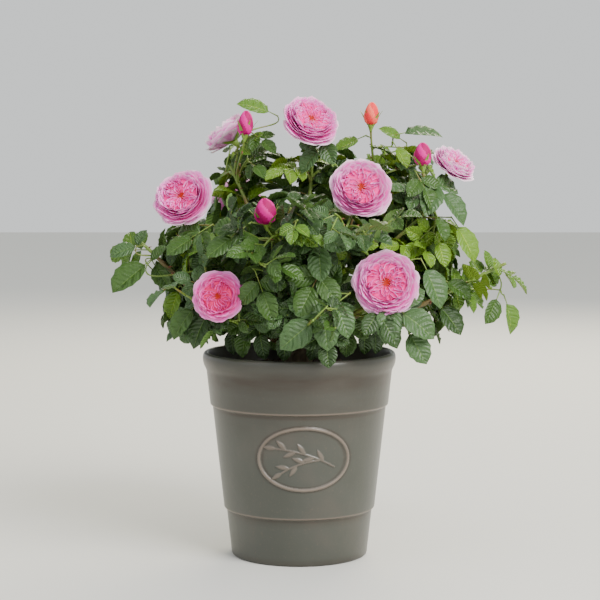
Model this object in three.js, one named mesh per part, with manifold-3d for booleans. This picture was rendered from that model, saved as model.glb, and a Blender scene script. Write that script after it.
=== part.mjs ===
// A shrub rose in a glazed stoneware pot, in millimetres, +Z up.
// The origin is the centre of the pot's flat underside, and the viewer stands on the -Y side.
// Canes rise from one stock on the soil. Each carries one mass of shoots, leaves and blooms,
// and every mass keeps to its own space, so no two solids touch.
import * as THREE from "three";
import { mergeVertices } from "three/addons/utils/BufferGeometryUtils.js";
import Module from "manifold-3d";

const wasm = await Module();
wasm.setup();
const { Manifold } = wasm;

// Pot: a nine inch grower's pot. Radii are those of the outside unless they say otherwise.
const POT_HEIGHT = 234;
const FOOT_RADIUS = 77.9;
const FOOT_EDGE = 1.5;
const WALL_SLOPE = 0.11; // the wall's lean, outwards for each millimetre up
const FLOOR_THICKNESS = 10;
const INSIDE = { floor: 72.5, neck: 98.5 }; // inner radii
const LOWER_STEP = { height: 48, rise: 2.7 }; // the wall above stands out over the wall below
const UPPER_STEP = { height: 168, rise: 2.4 };
const STEP_LENGTH = 2.5; // how far up the wall a step takes
const NECK_HEIGHT = 208;
const LIP_RADIUS = 110.5;
const LIP_HEIGHT = 224;
const CREST_RADIUS = 107;
const MOUTH_RADIUS = 103.5;
const POT_SIDES = 32;

// Medallion: an oval bead round a leafy sprig, low relief on the front of the wall.
const MEDALLION = { height: 124, turn: THREE.MathUtils.degToRad(3.2), half: [51.5, 35] };
const BEAD = { radius: 2.3, sides: 5, steps: 20 };
const SPRIG_STEMS = [ // right of and above the medallion's middle
  { from: [34, -9], bend: [4, 9], to: [-31, 12], leaves: 6, first: 0.2 },
  { from: [16, -1], bend: [-6, -3], to: [-24, -15], leaves: 4, first: 0.35 },
];
const SPRIG_STEM_RADIUS = 1.5;
const SPRIG_LEAF = { length: 16, width: 6, thickness: 2.6, widest: 0.45 };
const SPRIG_LEAF_ANGLE = 0.62; // radians off the stem

// Soil: the plug of compost that fills the pot, 18 mm below the crest.
const SOIL_TOP = 216;
const GAP = 0.3; // between solids that rest on one another
const SLIVER = 0.06; // a face thinner than this is closed up where solids are fused

// Stock: the short woody base that the canes leave.
const STOCK = { height: 32, foot: 17, waist: 12, head: 17, lean: [3, -2], lobes: 5, lobeDepth: 0.35 };

// Canes and shoots: radii at the foot and at the tip, and how many sides the solid has.
const CANE = { foot: 2.7, tip: 2.1, sides: 5, step: 30 };
const STEM = { foot: 2.2, tip: 1.7, sides: 3, step: 20 };
const SHOOT = { foot: 1.9, tip: 1.4, sides: 3, step: 20 };

// How far a shoot's curve keeps to its first and last directions, in its own lengths, and how
// far up the mass's stem it forks off: the first of a kind, and the step on to the next.
const SHOOT_BEND = { foot: 0.3, tip: 0.35 };
const FORK = { bloom: [0.8, -0.25], bud: [0.65, -0.2], leafy: [0.35, 0.6] };
const SHOOT_REACH = 0.62; // how far a leafy shoot goes of the way to the edge of its space
const SHOOT_OUTWARDS = 0.55; // how strongly leafy shoots are drawn away from the crown's middle

// Leaves: leaflets in pairs along a stalk and one at its end, cut from one blade.
// They are a little larger than life, as they are fewer.
const STALK = { length: 57, halfWidth: 1.1, waist: 4, sag: 0.16 };
const LEAFLET = { length: 40, width: 27.5, widest: 0.42 };
const PAIRS = [
  { at: 0.34, angle: THREE.MathUtils.degToRad(76), size: 0.88 },
  { at: 0.72, angle: THREE.MathUtils.degToRad(50), size: 0.94 },
];
const BLADE_THICKNESS = 1.6;
const BLADE_DROOP = 0.18; // the fall of a leaflet for each millimetre off the stalk
const LEAF_SIZE = { least: 0.95, spread: 0.2, retry: 0.05, end: 1.12 };
const LEAF_LENGTH = STALK.length + LEAFLET.length;
const LEAF_ANGLE = THREE.MathUtils.degToRad(58);
const GOLDEN_ANGLE = Math.PI * (3 - Math.sqrt(5));
const CROWN_MIDDLE = new THREE.Vector3(5, 5, 300); // shoots and leaves look away from it
const LEAF_LIFT = 0.35; // how much a leaf looks up, against outwards

// A mass grows round its heart, and a point belongs to the mass whose heart is nearest.
// reach is the mass's largest radius, top the highest that a leaf may stand, shoots the number
// of leafy shoots, and spacing the length of shoot for one leaf.
// Its cane leaves the stock's side, the ring on its head or the middle of it, at a turn in
// degrees from +X.
const SIDE = { height: 0.42, radius: 2, out: 26, up: 16 };
const RING = { height: 0.72, radius: 11, out: 9, up: 26 };
const MIDDLE = { height: 0.72, radius: 0, out: 0, up: 30 };
const MASSES = [
  { name: "top", heart: [15, 35, 445], reach: 92, top: 486, shoots: 1, spacing: 28,
    turn: 97, from: RING },
  { name: "upper_left", heart: [-80, 45, 445], reach: 96, top: 500, shoots: 1, spacing: 28,
    turn: 170, from: RING },
  { name: "upper_right", heart: [95, 45, 445], reach: 92, top: 498, shoots: 1, spacing: 64,
    turn: 30, from: RING },
  { name: "right_high", heart: [158, -5, 405], reach: 88, top: 470, shoots: 1, spacing: 28,
    turn: 355, from: RING },
  { name: "left_high", heart: [-135, -30, 372], reach: 88, top: 440, shoots: 1, spacing: 28,
    turn: 208, from: RING },
  { name: "front_left", heart: [-25, -92, 375], reach: 88, top: 430, shoots: 2, spacing: 25,
    turn: 250, from: RING },
  { name: "front_right", heart: [62, -95, 402], reach: 88, top: 450, shoots: 2, spacing: 25,
    turn: 300, from: RING },
  { name: "low_left", heart: [-90, -105, 285], reach: 96, top: 400, shoots: 2, spacing: 25,
    turn: 228, from: SIDE },
  { name: "low_front", heart: [5, -118, 275], reach: 86, top: 400, shoots: 2, spacing: 24,
    turn: 270, from: SIDE },
  { name: "low_right", heart: [100, -108, 308], reach: 96, top: 400, shoots: 2, spacing: 40,
    turn: 312, from: SIDE },
  { name: "left_arm", heart: [-192, -18, 334], tip: [-181, -20, 362], reach: 52, top: 400,
    shoots: 1, spacing: 18, turn: 190, from: SIDE },
  { name: "right_arm", heart: [206, -22, 306], tip: [234, -20, 336], reach: 62, top: 350,
    shoots: 1, spacing: 18, turn: 350, from: SIDE },
  { name: "left_low", heart: [-140, 48, 300], reach: 84, top: 400, shoots: 2, spacing: 60,
    turn: 152, from: SIDE },
  { name: "right_low", heart: [138, 48, 305], reach: 84, top: 400, shoots: 2, spacing: 25,
    turn: 28, from: SIDE },
  { name: "back_left", heart: [-82, 132, 372], reach: 92, top: 460, shoots: 2, spacing: 25,
    turn: 132, from: RING },
  { name: "back_right", heart: [84, 136, 372], reach: 92, top: 460, shoots: 2, spacing: 25,
    turn: 65, from: RING },
  { name: "back_low", heart: [0, 128, 280], reach: 92, top: 400, shoots: 2, spacing: 24,
    turn: 90, from: SIDE },
  { name: "core", heart: [0, 18, 345], reach: 80, top: 420, shoots: 2, spacing: 25,
    turn: 0, from: MIDDLE },
];
const MARGIN = 0.5; // a mass stays this far inside its own space
const CLEARANCE = 1.2; // between a leaf or twig and a limb or the pot
const LOWEST_LEAF = 236; // leaves and twigs outside the pot hang no lower, level with its crest
const LEAF_SPACE = 3.5; // between a new leaflet and the twigs and leaflets already grown
const LEAF_ROOT = 4; // a leaf isn't tested this close to its foot, which sits in its shoot
const TRIES = 8; // directions in which a leaf is tried before it is skipped
const ENTRY_DEPTH = 5; // how deep in its mass's space a cane ends
const WAY_STEPS = 400; // steps in which a cane's end is looked for
const SAMPLE_STEP = 3; // between the points that stand for a limb in tests
const ROOM_STEP = 4; // in which the room round a heart is measured

// Blooms: full rosettes. centre is the middle of the flower, facing the way that it looks.
const BLOOMS = [
  { mass: "top", centre: [14, 0, 499], facing: [0.3, -0.7, 0.62], radius: 35 },
  { mass: "left_high", centre: [-132, -35, 412], facing: [-0.3, -0.8, 0.5], radius: 36 },
  { mass: "front_right", centre: [68, -75, 423], facing: [0.05, -0.9, 0.38], radius: 36 },
  { mass: "low_right", centre: [94, -112, 321], facing: [0, -0.95, 0.28], radius: 38 },
  { mass: "low_left", centre: [-88, -113, 306], facing: [-0.05, -0.98, 0.1], radius: 29 },
  { mass: "upper_left", centre: [-84, 45, 485], facing: [-0.55, 0.5, 0.62], radius: 33 },
  { mass: "right_high", centre: [178, 5, 450], facing: [0.6, -0.45, 0.66], radius: 28 },
  { mass: "back_left", centre: [-78, 152, 402], facing: [-0.35, 0.8, 0.48], radius: 35 },
  { mass: "back_right", centre: [98, 160, 390], facing: [0.35, 0.82, 0.42], radius: 36 },
  { mass: "back_low", centre: [14, 166, 306], facing: [0.05, 0.95, 0.3], radius: 34 },
];
const CALYX_DEPTH = 0.46; // from the bloom's middle down to its calyx, in bloom radii
const BLOOM_VIEW = { ahead: 0.7, radius: 0.95 }; // the space kept open before it, likewise

// A bloom's half section in bloom radii: a stepped cup whose outermost ring is scalloped.
const ROSETTE = [
  [0, -0.48], [0.4, -0.38], [0.99, -0.05], [0.86, 0.1], [0.7, 0.25], [0.46, 0.17],
  [0.36, 0.26], [0, 0.05],
];
const ROSETTE_SIDES = 12;
const SCALLOP = { count: 4, depth: 0.035 };

// Buds: foot and tip of the closed petals, and the widest radius.
const BUDS = [
  { mass: "upper_left", foot: [-62, 0, 480], tip: [-60, -1, 507], radius: 9 },
  { mass: "front_left", foot: [-36, -85, 383], tip: [-38, -89, 410], radius: 12 },
  { mass: "upper_right", foot: [82, 15, 492], tip: [83, 13, 517], radius: 8.5 },
  { mass: "right_high", foot: [139, -25, 446], tip: [138, -27, 471], radius: 10 },
  { mass: "back_right", foot: [30, 170, 404], tip: [28, 176, 430], radius: 10 },
];
const BUD_SIDES = 6;

// A bud's half section, across in bud radii and up in bud lengths: a pointed egg above the
// cup of its sepals.
const BUD_PROFILE = [
  [0, -0.12], [0.5, -0.08], [0.95, 0.12], [0.82, 0.16], [1, 0.34], [0.8, 0.66], [0, 1],
];

// Leaves that stand clear of the crown, each from the shoot's end to the leaf's own tip. fork
// is how far up the mass's stem the shoot leaves it.
const CLEAR_LEAVES = [
  { mass: "upper_left", fork: 0.7, foot: [-52, 28, 486], tip: [-74, 22, 522], leaflets: 1 },
  { mass: "upper_right", fork: 0.7, foot: [112, 42, 470], tip: [156, 38, 492], leaflets: 3 },
  { mass: "left_arm", fork: 0.15, foot: [-166, -26, 326], tip: [-224, -22, 362], leaflets: 3 },
];

const paint = {
  glaze: new THREE.MeshStandardMaterial({ color: "#75766c", roughness: 0.35 }),
  soil: new THREE.MeshStandardMaterial({ color: "#2c241c", roughness: 1 }),
  bark: new THREE.MeshStandardMaterial({ color: "#6b6a3c", roughness: 0.8 }),
  foliage: new THREE.MeshStandardMaterial({ color: "#3f6639", roughness: 0.6 }),
};

const vector = (xyz) => new THREE.Vector3(...xyz);
const UP = new THREE.Vector3(0, 0, 1);

// A solid from a closed geometry, with its faces turned outwards whichever way they came.
function solid(geometry) {
  const bare = geometry.clone();
  for (const name of Object.keys(bare.attributes)) {
    if (name !== "position") bare.deleteAttribute(name);
  }
  const merged = mergeVertices(bare, 1e-4);
  const points = merged.attributes.position;
  const faces = Uint32Array.from(merged.index.array);
  const a = new THREE.Vector3();
  const b = new THREE.Vector3();
  const c = new THREE.Vector3();
  let volume = 0;
  for (let i = 0; i < faces.length; i += 3) {
    a.fromBufferAttribute(points, faces[i]);
    b.fromBufferAttribute(points, faces[i + 1]);
    c.fromBufferAttribute(points, faces[i + 2]);
    volume += a.dot(b.cross(c));
  }
  if (volume < 0) {
    for (let i = 0; i < faces.length; i += 3) {
      [faces[i], faces[i + 1]] = [faces[i + 1], faces[i]];
    }
  }
  const vertProperties = Float32Array.from(points.array);
  return new Manifold(new wasm.Mesh({ numProp: 3, vertProperties, triVerts: faces }));
}

// One solid from many that overlap. A scrap that fusing left loose, or the skin of a hollow
// that it sealed, is dropped, so that the largest body is all that stays, and the slivers that
// fusing leaves along its seams are closed up.
function fuse(solids) {
  const bodies = Manifold.union(solids).decompose();
  const largest = bodies.reduce((best, body) => (body.volume() > best.volume() ? body : best));
  return largest.simplify(SLIVER);
}

function mesh(name, body, material) {
  const { numProp, vertProperties, triVerts } = body.getMesh();
  const geometry = new THREE.BufferGeometry();
  geometry.setAttribute("position", new THREE.BufferAttribute(vertProperties, numProp));
  geometry.setIndex(new THREE.BufferAttribute(triVerts, 1));
  geometry.computeVertexNormals();
  const made = new THREE.Mesh(geometry, material);
  made.name = name;
  return made;
}

// Draws numbers from 0 to 1, always the same row for the same seed.
function seeded(seed) {
  let state = seed >>> 0;
  return () => {
    state = (state + 0x6d2b79f5) >>> 0;
    let mixed = Math.imul(state ^ (state >>> 15), state | 1);
    mixed ^= mixed + Math.imul(mixed ^ (mixed >>> 7), mixed | 61);
    return ((mixed ^ (mixed >>> 14)) >>> 0) / 2 ** 32;
  };
}

// The stretch of a curve from one fraction of it to another.
class Stretch extends THREE.Curve {
  constructor(curve, from, to) {
    super();
    this.curve = curve;
    this.from = from;
    this.to = to;
  }

  getPoint(t, target = new THREE.Vector3()) {
    return this.curve.getPoint(this.from + (this.to - this.from) * t, target);
  }
}

// A closed limb: a cylinder of unit radius and height bent along the curve. radiusAt gives
// the radius from the fraction of the way along and the angle round.
function limb(curve, radiusAt, sides, steps) {
  const geometry = new THREE.CylinderGeometry(1, 1, 1, sides, steps);
  const frames = curve.computeFrenetFrames(steps, false);
  const points = geometry.attributes.position;
  for (let i = 0; i < points.count; i++) {
    const step = Math.round((points.getY(i) + 0.5) * steps);
    const angle = Math.atan2(points.getZ(i), points.getX(i));
    const radius = Math.hypot(points.getX(i), points.getZ(i)) * radiusAt(step / steps, angle);
    const place = curve.getPointAt(step / steps);
    place.addScaledVector(frames.normals[step], radius * Math.cos(angle));
    place.addScaledVector(frames.binormals[step], radius * Math.sin(angle));
    points.setXYZ(i, place.x, place.y, place.z);
  }
  return solid(geometry);
}

const tapered = (foot, tip) => (t) => foot + (tip - foot) * t;

const stepsFor = (curve, length) => Math.max(1, Math.round(curve.getLength() / length));

function twig(curve, size) {
  return limb(curve, tapered(size.foot, size.tip), size.sides, stepsFor(curve, size.step));
}

// Pot

function wallRadius(height) {
  const step = (at) => at.rise * THREE.MathUtils.clamp((height - at.height) / STEP_LENGTH, 0, 1);
  return FOOT_RADIUS + WALL_SLOPE * height + step(LOWER_STEP) + step(UPPER_STEP);
}

// A body of revolution round the pot's axis, from pairs of radius and height.
function turned(profile, sides) {
  const points = profile.map(([radius, height]) => new THREE.Vector2(radius, height));
  return solid(new THREE.LatheGeometry(points, sides).rotateX(Math.PI / 2));
}

function potShell() {
  const wall = [LOWER_STEP, UPPER_STEP].flatMap(({ height }) => [height, height + STEP_LENGTH]);
  return turned([
    [0, 0],
    [FOOT_RADIUS - FOOT_EDGE, 0],
    [wallRadius(FOOT_EDGE), FOOT_EDGE],
    ...wall.map((height) => [wallRadius(height), height]),
    [wallRadius(NECK_HEIGHT), NECK_HEIGHT],
    [LIP_RADIUS, LIP_HEIGHT],
    [LIP_RADIUS - 0.3, POT_HEIGHT - 3.5],
    [CREST_RADIUS, POT_HEIGHT],
    [MOUTH_RADIUS, POT_HEIGHT - 3],
    [INSIDE.neck, NECK_HEIGHT],
    [INSIDE.floor, FLOOR_THICKNESS],
    [0, FLOOR_THICKNESS],
  ], POT_SIDES);
}

// A place on the front of the wall: right of the medallion's middle, above it, and proud.
function onWall(right, above, proud = 0) {
  const height = MEDALLION.height + above;
  const radius = wallRadius(height);
  const turn = MEDALLION.turn + right / radius;
  const out = radius + proud;
  return new THREE.Vector3(out * Math.sin(turn), -out * Math.cos(turn), height);
}

function ovalBead() {
  const [a, b] = MEDALLION.half;
  const oval = Array.from({ length: BEAD.steps }, (_, i) => {
    const turn = (i / BEAD.steps) * 2 * Math.PI;
    return onWall(a * Math.cos(turn), b * Math.sin(turn));
  });
  const curve = new THREE.CatmullRomCurve3(oval, true);
  return solid(new THREE.TubeGeometry(curve, BEAD.steps, BEAD.radius, BEAD.sides, true));
}

// A closed blade with four corners and a ridge above and below: eight faces.
function blade(foot, along, up, { length, width, thickness, widest }) {
  const across = along.clone().cross(up).normalize();
  const face = across.clone().cross(along).normalize();
  const geometry = new THREE.OctahedronGeometry(1);
  const points = geometry.attributes.position;
  for (let i = 0; i < points.count; i++) {
    const [x, y, z] = [points.getX(i), points.getY(i), points.getZ(i)];
    const run = Math.abs(y) > 0.5 ? (y + 1) / 2 : widest;
    const place = foot.clone().addScaledVector(along, run * length);
    place.addScaledVector(across, (x * width) / 2);
    place.addScaledVector(face, (z * thickness) / 2);
    points.setXYZ(i, place.x, place.y, place.z);
  }
  return solid(geometry);
}

// The sprig: a stem that divides in two, with lance-shaped leaves by turns on either side.
function sprig() {
  const solids = [];
  for (const { from, bend, to, leaves, first } of SPRIG_STEMS) {
    const flat = new THREE.QuadraticBezierCurve(
      new THREE.Vector2(...from), new THREE.Vector2(...bend), new THREE.Vector2(...to));
    const nodes = flat.getPoints(6).map(({ x, y }) => onWall(x, y));
    const stem = new THREE.CatmullRomCurve3(nodes);
    const ends = tapered(SPRIG_STEM_RADIUS, SPRIG_STEM_RADIUS / 2);
    solids.push(limb(stem, ends, 5, nodes.length - 1));
    for (let i = 0; i < leaves; i++) {
      const t = first + ((1 - first) * i) / (leaves - 1);
      const { x, y } = flat.getPoint(t);
      const run = flat.getTangent(t);
      const side = i === leaves - 1 ? 0 : i % 2 ? 1 : -1;
      const angle = Math.atan2(run.y, run.x) + side * SPRIG_LEAF_ANGLE;
      const foot = onWall(x, y);
      const reach = onWall(x + Math.cos(angle), y + Math.sin(angle));
      const along = reach.sub(foot).normalize();
      const proud = new THREE.Vector3(foot.x, foot.y, 0).normalize();
      solids.push(blade(foot, along, proud, SPRIG_LEAF));
    }
  }
  return solids;
}

const pot = fuse([potShell(), ovalBead(), ...sprig()]);

// Soil

const soil = turned([
  [0, FLOOR_THICKNESS + GAP],
  [INSIDE.floor - 2 * GAP, FLOOR_THICKNESS + GAP],
  [INSIDE.neck - 2 * GAP, NECK_HEIGHT],
  [INSIDE.neck - 2 * GAP, SOIL_TOP - 3],
  [INSIDE.neck - 12, SOIL_TOP],
  [0, SOIL_TOP],
], POT_SIDES);

// Stock and canes

const stockFoot = new THREE.Vector3(0, 0, SOIL_TOP + GAP);
const stockHead = stockFoot.clone().add(vector([...STOCK.lean, STOCK.height]));
const stockMiddle = stockFoot.clone().lerp(new THREE.Vector3(0, 0, stockHead.z), 0.5);
const stockLine = new THREE.QuadraticBezierCurve3(stockFoot, stockMiddle, stockHead);

// The stock flares to lobed roots at the soil and swells again where the canes leave.
function stockRadius(t, angle) {
  const flare = (STOCK.foot - STOCK.waist) * (1 - t) ** 3;
  const swell = (STOCK.head - STOCK.waist) * Math.sin((Math.PI / 2) * Math.min(1, t * 1.25)) ** 2;
  const crown = t > 0.95 ? -4 : 0;
  return STOCK.waist + flare * (1 + STOCK.lobeDepth * Math.cos(STOCK.lobes * angle)) + swell + crown;
}

function stockBody(extra) {
  return limb(stockLine, (t, angle) => stockRadius(t, angle) + extra, 15, 6);
}

const stock = stockBody(0);
const stockAndGap = stockBody(GAP).add(stockBody(GAP).translate([0, 0, GAP]));

// The way from the stock to a mass: out of the stock, up, and over to the mass's own tip.
function caneWay({ heart, tip = heart, turn, from }) {
  const angle = THREE.MathUtils.degToRad(turn);
  const out = new THREE.Vector3(Math.cos(angle), Math.sin(angle), 0);
  const foot = stockLine.getPoint(from.height).addScaledVector(out, from.radius);
  const first = foot.clone().addScaledVector(out, from.out).addScaledVector(UP, from.up);
  const middle = foot.clone().lerp(vector(heart), 0.6);
  middle.z += 0.08 * (heart[2] - foot.z);
  return new THREE.CatmullRomCurve3([foot, first, middle, vector(tip)], false, "centripetal");
}

// How far a point lies inside a mass's own space: from the planes halfway to other hearts.
function depthInside(mass, point) {
  const heart = vector(mass.heart);
  let depth = mass.reach - point.distanceTo(heart);
  for (const other of MASSES) {
    if (other === mass) continue;
    const away = vector(other.heart).sub(heart);
    const middle = heart.clone().addScaledVector(away, 0.5);
    depth = Math.min(depth, -point.clone().sub(middle).dot(away) / away.length());
  }
  return depth;
}

for (const mass of MASSES) {
  const way = caneWay(mass);
  const steps = Array.from({ length: WAY_STEPS }, (_, i) => i / WAY_STEPS);
  const end = steps.find((t) => depthInside(mass, way.getPoint(t)) > ENTRY_DEPTH) ?? 0.9;
  const near = 1 / WAY_STEPS;
  const pace = way.getPoint(end).distanceTo(way.getPoint(end + near)) / near;
  mass.caneCurve = new Stretch(way, 0, end);
  mass.stemCurve = new Stretch(way, end + GAP / pace, 1);
  mass.caneRadius = tapered(CANE.foot, CANE.tip);
}

// Points along every cane with the cane's radius there, for the tests below.
const limbSamples = MASSES.flatMap(({ caneCurve, caneRadius }) => {
  const count = stepsFor(caneCurve, SAMPLE_STEP);
  return Array.from({ length: count + 1 }, (_, i) => ({
    point: caneCurve.getPointAt(i / count),
    radius: caneRadius(i / count),
  }));
});

function caneBody({ caneCurve, caneRadius }) {
  const body = limb(caneCurve, caneRadius, CANE.sides, stepsFor(caneCurve, CANE.step));
  return fuse([body.subtract(stockAndGap)]);
}

// Foliage

// True if a point stays above the pot, or in its mouth, clear of the wall and the soil.
function clearOfPot(point, clear) {
  const radius = Math.hypot(point.x, point.y);
  if (radius < INSIDE.neck - clear - 2) return point.z > SOIL_TOP + clear;
  return point.z > (radius < LIP_RADIUS + clear ? POT_HEIGHT + clear : LOWEST_LEAF);
}

// True if a round twig of this radius, or a leaf of radius 0, may pass through the point.
function mayGrow(mass, point, radius) {
  if (point.z > mass.top || depthInside(mass, point) < MARGIN + radius) return false;
  if (!clearOfPot(point, CLEARANCE + radius)) return false;
  return limbSamples.every((sample) => {
    return point.distanceTo(sample.point) > sample.radius + radius + CLEARANCE + 0.5;
  });
}

// True if a point is in a bloom of this mass or in the open space before its face.
function hidesBloom(mass, point) {
  return mass.blooms.some(({ centre, facing, radius }) => {
    const front = centre.clone().addScaledVector(facing, radius * BLOOM_VIEW.ahead);
    if (point.distanceTo(centre) < radius) return true;
    return point.distanceTo(front) < radius * BLOOM_VIEW.radius;
  });
}

function pointsAlong(curve, step) {
  return curve.getSpacedPoints(stepsFor(curve, step));
}

// The outline of a leaf laid flat, x along its stalk, and points spread inside its leaflets.
function leafPattern(pairs) {
  const side = [];
  const inside = [];
  const leaflet = (at, angle, size) => {
    const turned = (run, off) => new THREE.Vector2(
      at + run * Math.cos(angle) + off * Math.sin(angle),
      run * Math.sin(angle) - off * Math.cos(angle));
    const length = LEAFLET.length * size;
    const half = (LEAFLET.width * size) / 2;
    for (let run = 0.1; run < 1; run += 0.15) {
      const wide = half * Math.min(run / LEAFLET.widest, (1 - run) / (1 - LEAFLET.widest));
      inside.push(...[-0.9, 0, 0.9].map((off) => turned(run * length, off * wide)));
    }
    return [[LEAFLET.widest * length, -half], [length, 0], [LEAFLET.widest * length, half]]
      .map(([run, off]) => turned(run, off));
  };
  for (const { at, angle, size } of pairs) {
    const node = at * STALK.length;
    side.push(
      new THREE.Vector2(node - 1.5, STALK.halfWidth),
      ...leaflet(node, angle, size),
      new THREE.Vector2(node + 1.5, STALK.halfWidth));
  }
  const mirrored = ({ x, y }) => new THREE.Vector2(x, -y);
  const [lower, tip, upper] = leaflet(STALK.length, 0, 1);
  const oneSide = [new THREE.Vector2(STALK.waist, STALK.halfWidth), ...side];
  const outline = [...oneSide, upper.y > 0 ? upper : lower, tip];
  outline.push(upper.y > 0 ? lower : upper, ...oneSide.toReversed().map(mirrored));
  outline.push(new THREE.Vector2(-1, 0));
  return { outline, tests: [...outline, ...inside, ...inside.map(mirrored)] };
}

const PATTERNS = { 1: leafPattern([]), 3: leafPattern(PAIRS.slice(1)), 5: leafPattern(PAIRS) };

// One leaf from its foot, or null where it would leave its space or touch a limb. It is
// one blade, extruded from its outline, that sags along its length.
function leaf(mass, foot, along, up, count, scale) {
  const { outline, tests } = PATTERNS[count];
  const across = up.clone().cross(along).normalize();
  const place = (x, y, z) => {
    const sag = STALK.sag * x * (x / LEAF_LENGTH) + BLADE_DROOP * Math.abs(y);
    return foot.clone().addScaledVector(along, x * scale).addScaledVector(across, y * scale)
      .addScaledVector(up, z).addScaledVector(UP, -sag * scale);
  };
  const points = tests.map(({ x, y }) => place(x, y, 0));
  const stalkPoints = [0.15, 0.3, 0.5, 0.65, 0.85].map((t) => place(t * STALK.length, 0, 0));
  const fits = [...points.slice(1, -1), ...stalkPoints].every((point) => {
    return point.distanceTo(foot) < LEAF_ROOT || mayGrow(mass, point, BLADE_THICKNESS);
  });
  if (!fits || points.some((point) => hidesBloom(mass, point))) return null;
  const apart = points.filter((point) => point.distanceTo(foot) > LEAF_SPACE * 1.5);
  if (apart.some((point) => meetsTaken(mass, point))) return null;
  mass.taken.push(...points);
  const flat = new THREE.ExtrudeGeometry(new THREE.Shape(outline), {
    depth: BLADE_THICKNESS, bevelEnabled: false, steps: 1,
  });
  const corners = flat.attributes.position;
  for (let i = 0; i < corners.count; i++) {
    const moved = place(corners.getX(i), corners.getY(i), corners.getZ(i) - BLADE_THICKNESS / 2);
    corners.setXYZ(i, moved.x, moved.y, moved.z);
  }
  return [solid(flat)];
}

// True if a leaflet here would meet a twig, bud or leaflet that this mass already has.
function meetsTaken(mass, point) {
  return mass.taken.some((spot) => point.distanceToSquared(spot) < LEAF_SPACE ** 2);
}

// Where a leaf's upper side looks: up, and outwards from the middle of the crown.
function leafUp(foot, along) {
  const out = foot.clone().sub(CROWN_MIDDLE).normalize();
  const up = UP.clone().multiplyScalar(LEAF_LIFT).add(out);
  return up.addScaledVector(along, -up.dot(along)).normalize();
}

// Leaves up a shoot, each a golden angle on from the last, and the end one of three leaflets.
// A leaf that doesn't fit is tried again, a golden angle on and a little smaller each time.
function leavesAlong(mass, curve, draw) {
  const solids = [];
  const count = Math.max(1, Math.round(curve.getLength() / mass.spacing));
  const phase = draw() * 2 * Math.PI;
  const steps = stepsFor(curve, SHOOT.step);
  for (let i = 0; i < count; i++) {
    const step = Math.round(((i + 0.75) / count) * steps);
    const t = THREE.MathUtils.clamp(step, 1, steps) / steps;
    const foot = curve.getPointAt(t);
    const run = curve.getTangentAt(t);
    const side = new THREE.Vector3().crossVectors(run, new THREE.Vector3(1, 0, 0)).normalize();
    const other = new THREE.Vector3().crossVectors(run, side);
    const last = i === count - 1;
    let made = null;
    for (let tried = 0; tried < TRIES && !made; tried++) {
      const turn = phase + (i + tried) * GOLDEN_ANGLE;
      const angle = last ? LEAF_ANGLE / 2 : LEAF_ANGLE;
      const along = run.clone().multiplyScalar(Math.cos(angle));
      along.addScaledVector(side, Math.sin(angle) * Math.cos(turn));
      along.addScaledVector(other, Math.sin(angle) * Math.sin(turn));
      const size = LEAF_SIZE.least + LEAF_SIZE.spread * draw();
      const scale = size * (1 - LEAF_SIZE.retry * tried) * (last ? LEAF_SIZE.end : 1);
      made = leaf(mass, foot, along, leafUp(foot, along), last ? 3 : 5, scale);
    }
    if (made) solids.push(...made);
  }
  return solids;
}

// A shoot leaves its stem half turned to its end, and ends looking along the given way.
function shootCurve(stem, t, end, looking) {
  const foot = stem.getPointAt(t);
  const run = stem.getTangentAt(t);
  const length = foot.distanceTo(end);
  const start = end.clone().sub(foot).normalize().add(run).normalize();
  return new THREE.CubicBezierCurve3(
    foot,
    foot.clone().addScaledVector(start, length * SHOOT_BEND.foot),
    end.clone().addScaledVector(looking, -length * SHOOT_BEND.tip),
    end);
}

// How far it is from a mass's heart to the edge of its space.
function roomFrom(mass, direction) {
  const start = vector(mass.heart);
  const steps = Array.from({ length: Math.floor(mass.reach / ROOM_STEP) }, (_, i) => i * ROOM_STEP);
  const open = (room) => mayGrow(mass, start.clone().addScaledVector(direction, room), 0);
  return steps.find((room) => room > 0 && !open(room)) ?? mass.reach;
}

// The ends of a mass's leafy shoots: spread evenly over a sphere, and drawn outwards.
function shootEnds(mass, draw) {
  const out = vector(mass.heart).sub(CROWN_MIDDLE).normalize();
  const phase = draw() * 2 * Math.PI;
  return Array.from({ length: mass.shoots }, (_, i) => {
    const z = 1 - (2 * i + 1) / mass.shoots;
    const turn = phase + i * GOLDEN_ANGLE;
    const round = Math.sqrt(1 - z * z);
    const direction = new THREE.Vector3(round * Math.cos(turn), round * Math.sin(turn), z);
    direction.addScaledVector(out, SHOOT_OUTWARDS).normalize();
    const room = roomFrom(mass, direction);
    const end = vector(mass.heart).addScaledVector(direction, SHOOT_REACH * room);
    return { direction, end };
  });
}

// The turn that brings +Z round to the given way.
function facingTurn(facing) {
  return new THREE.Quaternion().setFromUnitVectors(UP, facing);
}

function bloomSolids({ centre, facing, radius }) {
  const profile = ROSETTE.map(([r, h]) => new THREE.Vector2(r * radius, h * radius));
  const cup = new THREE.LatheGeometry(profile, ROSETTE_SIDES).rotateX(Math.PI / 2);
  const points = cup.attributes.position;
  for (let i = 0; i < points.count; i++) {
    const turn = Math.atan2(points.getY(i), points.getX(i));
    const wave = Math.cos(SCALLOP.count * turn + points.getZ(i));
    const scallop = 1 - SCALLOP.depth * (1 - wave);
    points.setXYZ(i, points.getX(i) * scallop, points.getY(i) * scallop, points.getZ(i));
  }
  cup.applyQuaternion(facingTurn(facing)).translate(centre.x, centre.y, centre.z);
  return [solid(cup)];
}

function budSolids({ foot, tip, radius }) {
  const way = vector(tip).sub(vector(foot));
  const length = way.length();
  const profile = BUD_PROFILE.map(([r, h]) => new THREE.Vector2(r * radius, h * length));
  const egg = new THREE.LatheGeometry(profile, BUD_SIDES).rotateX(Math.PI / 2);
  egg.applyQuaternion(facingTurn(way.normalize())).translate(...foot);
  return [solid(egg)];
}

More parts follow.
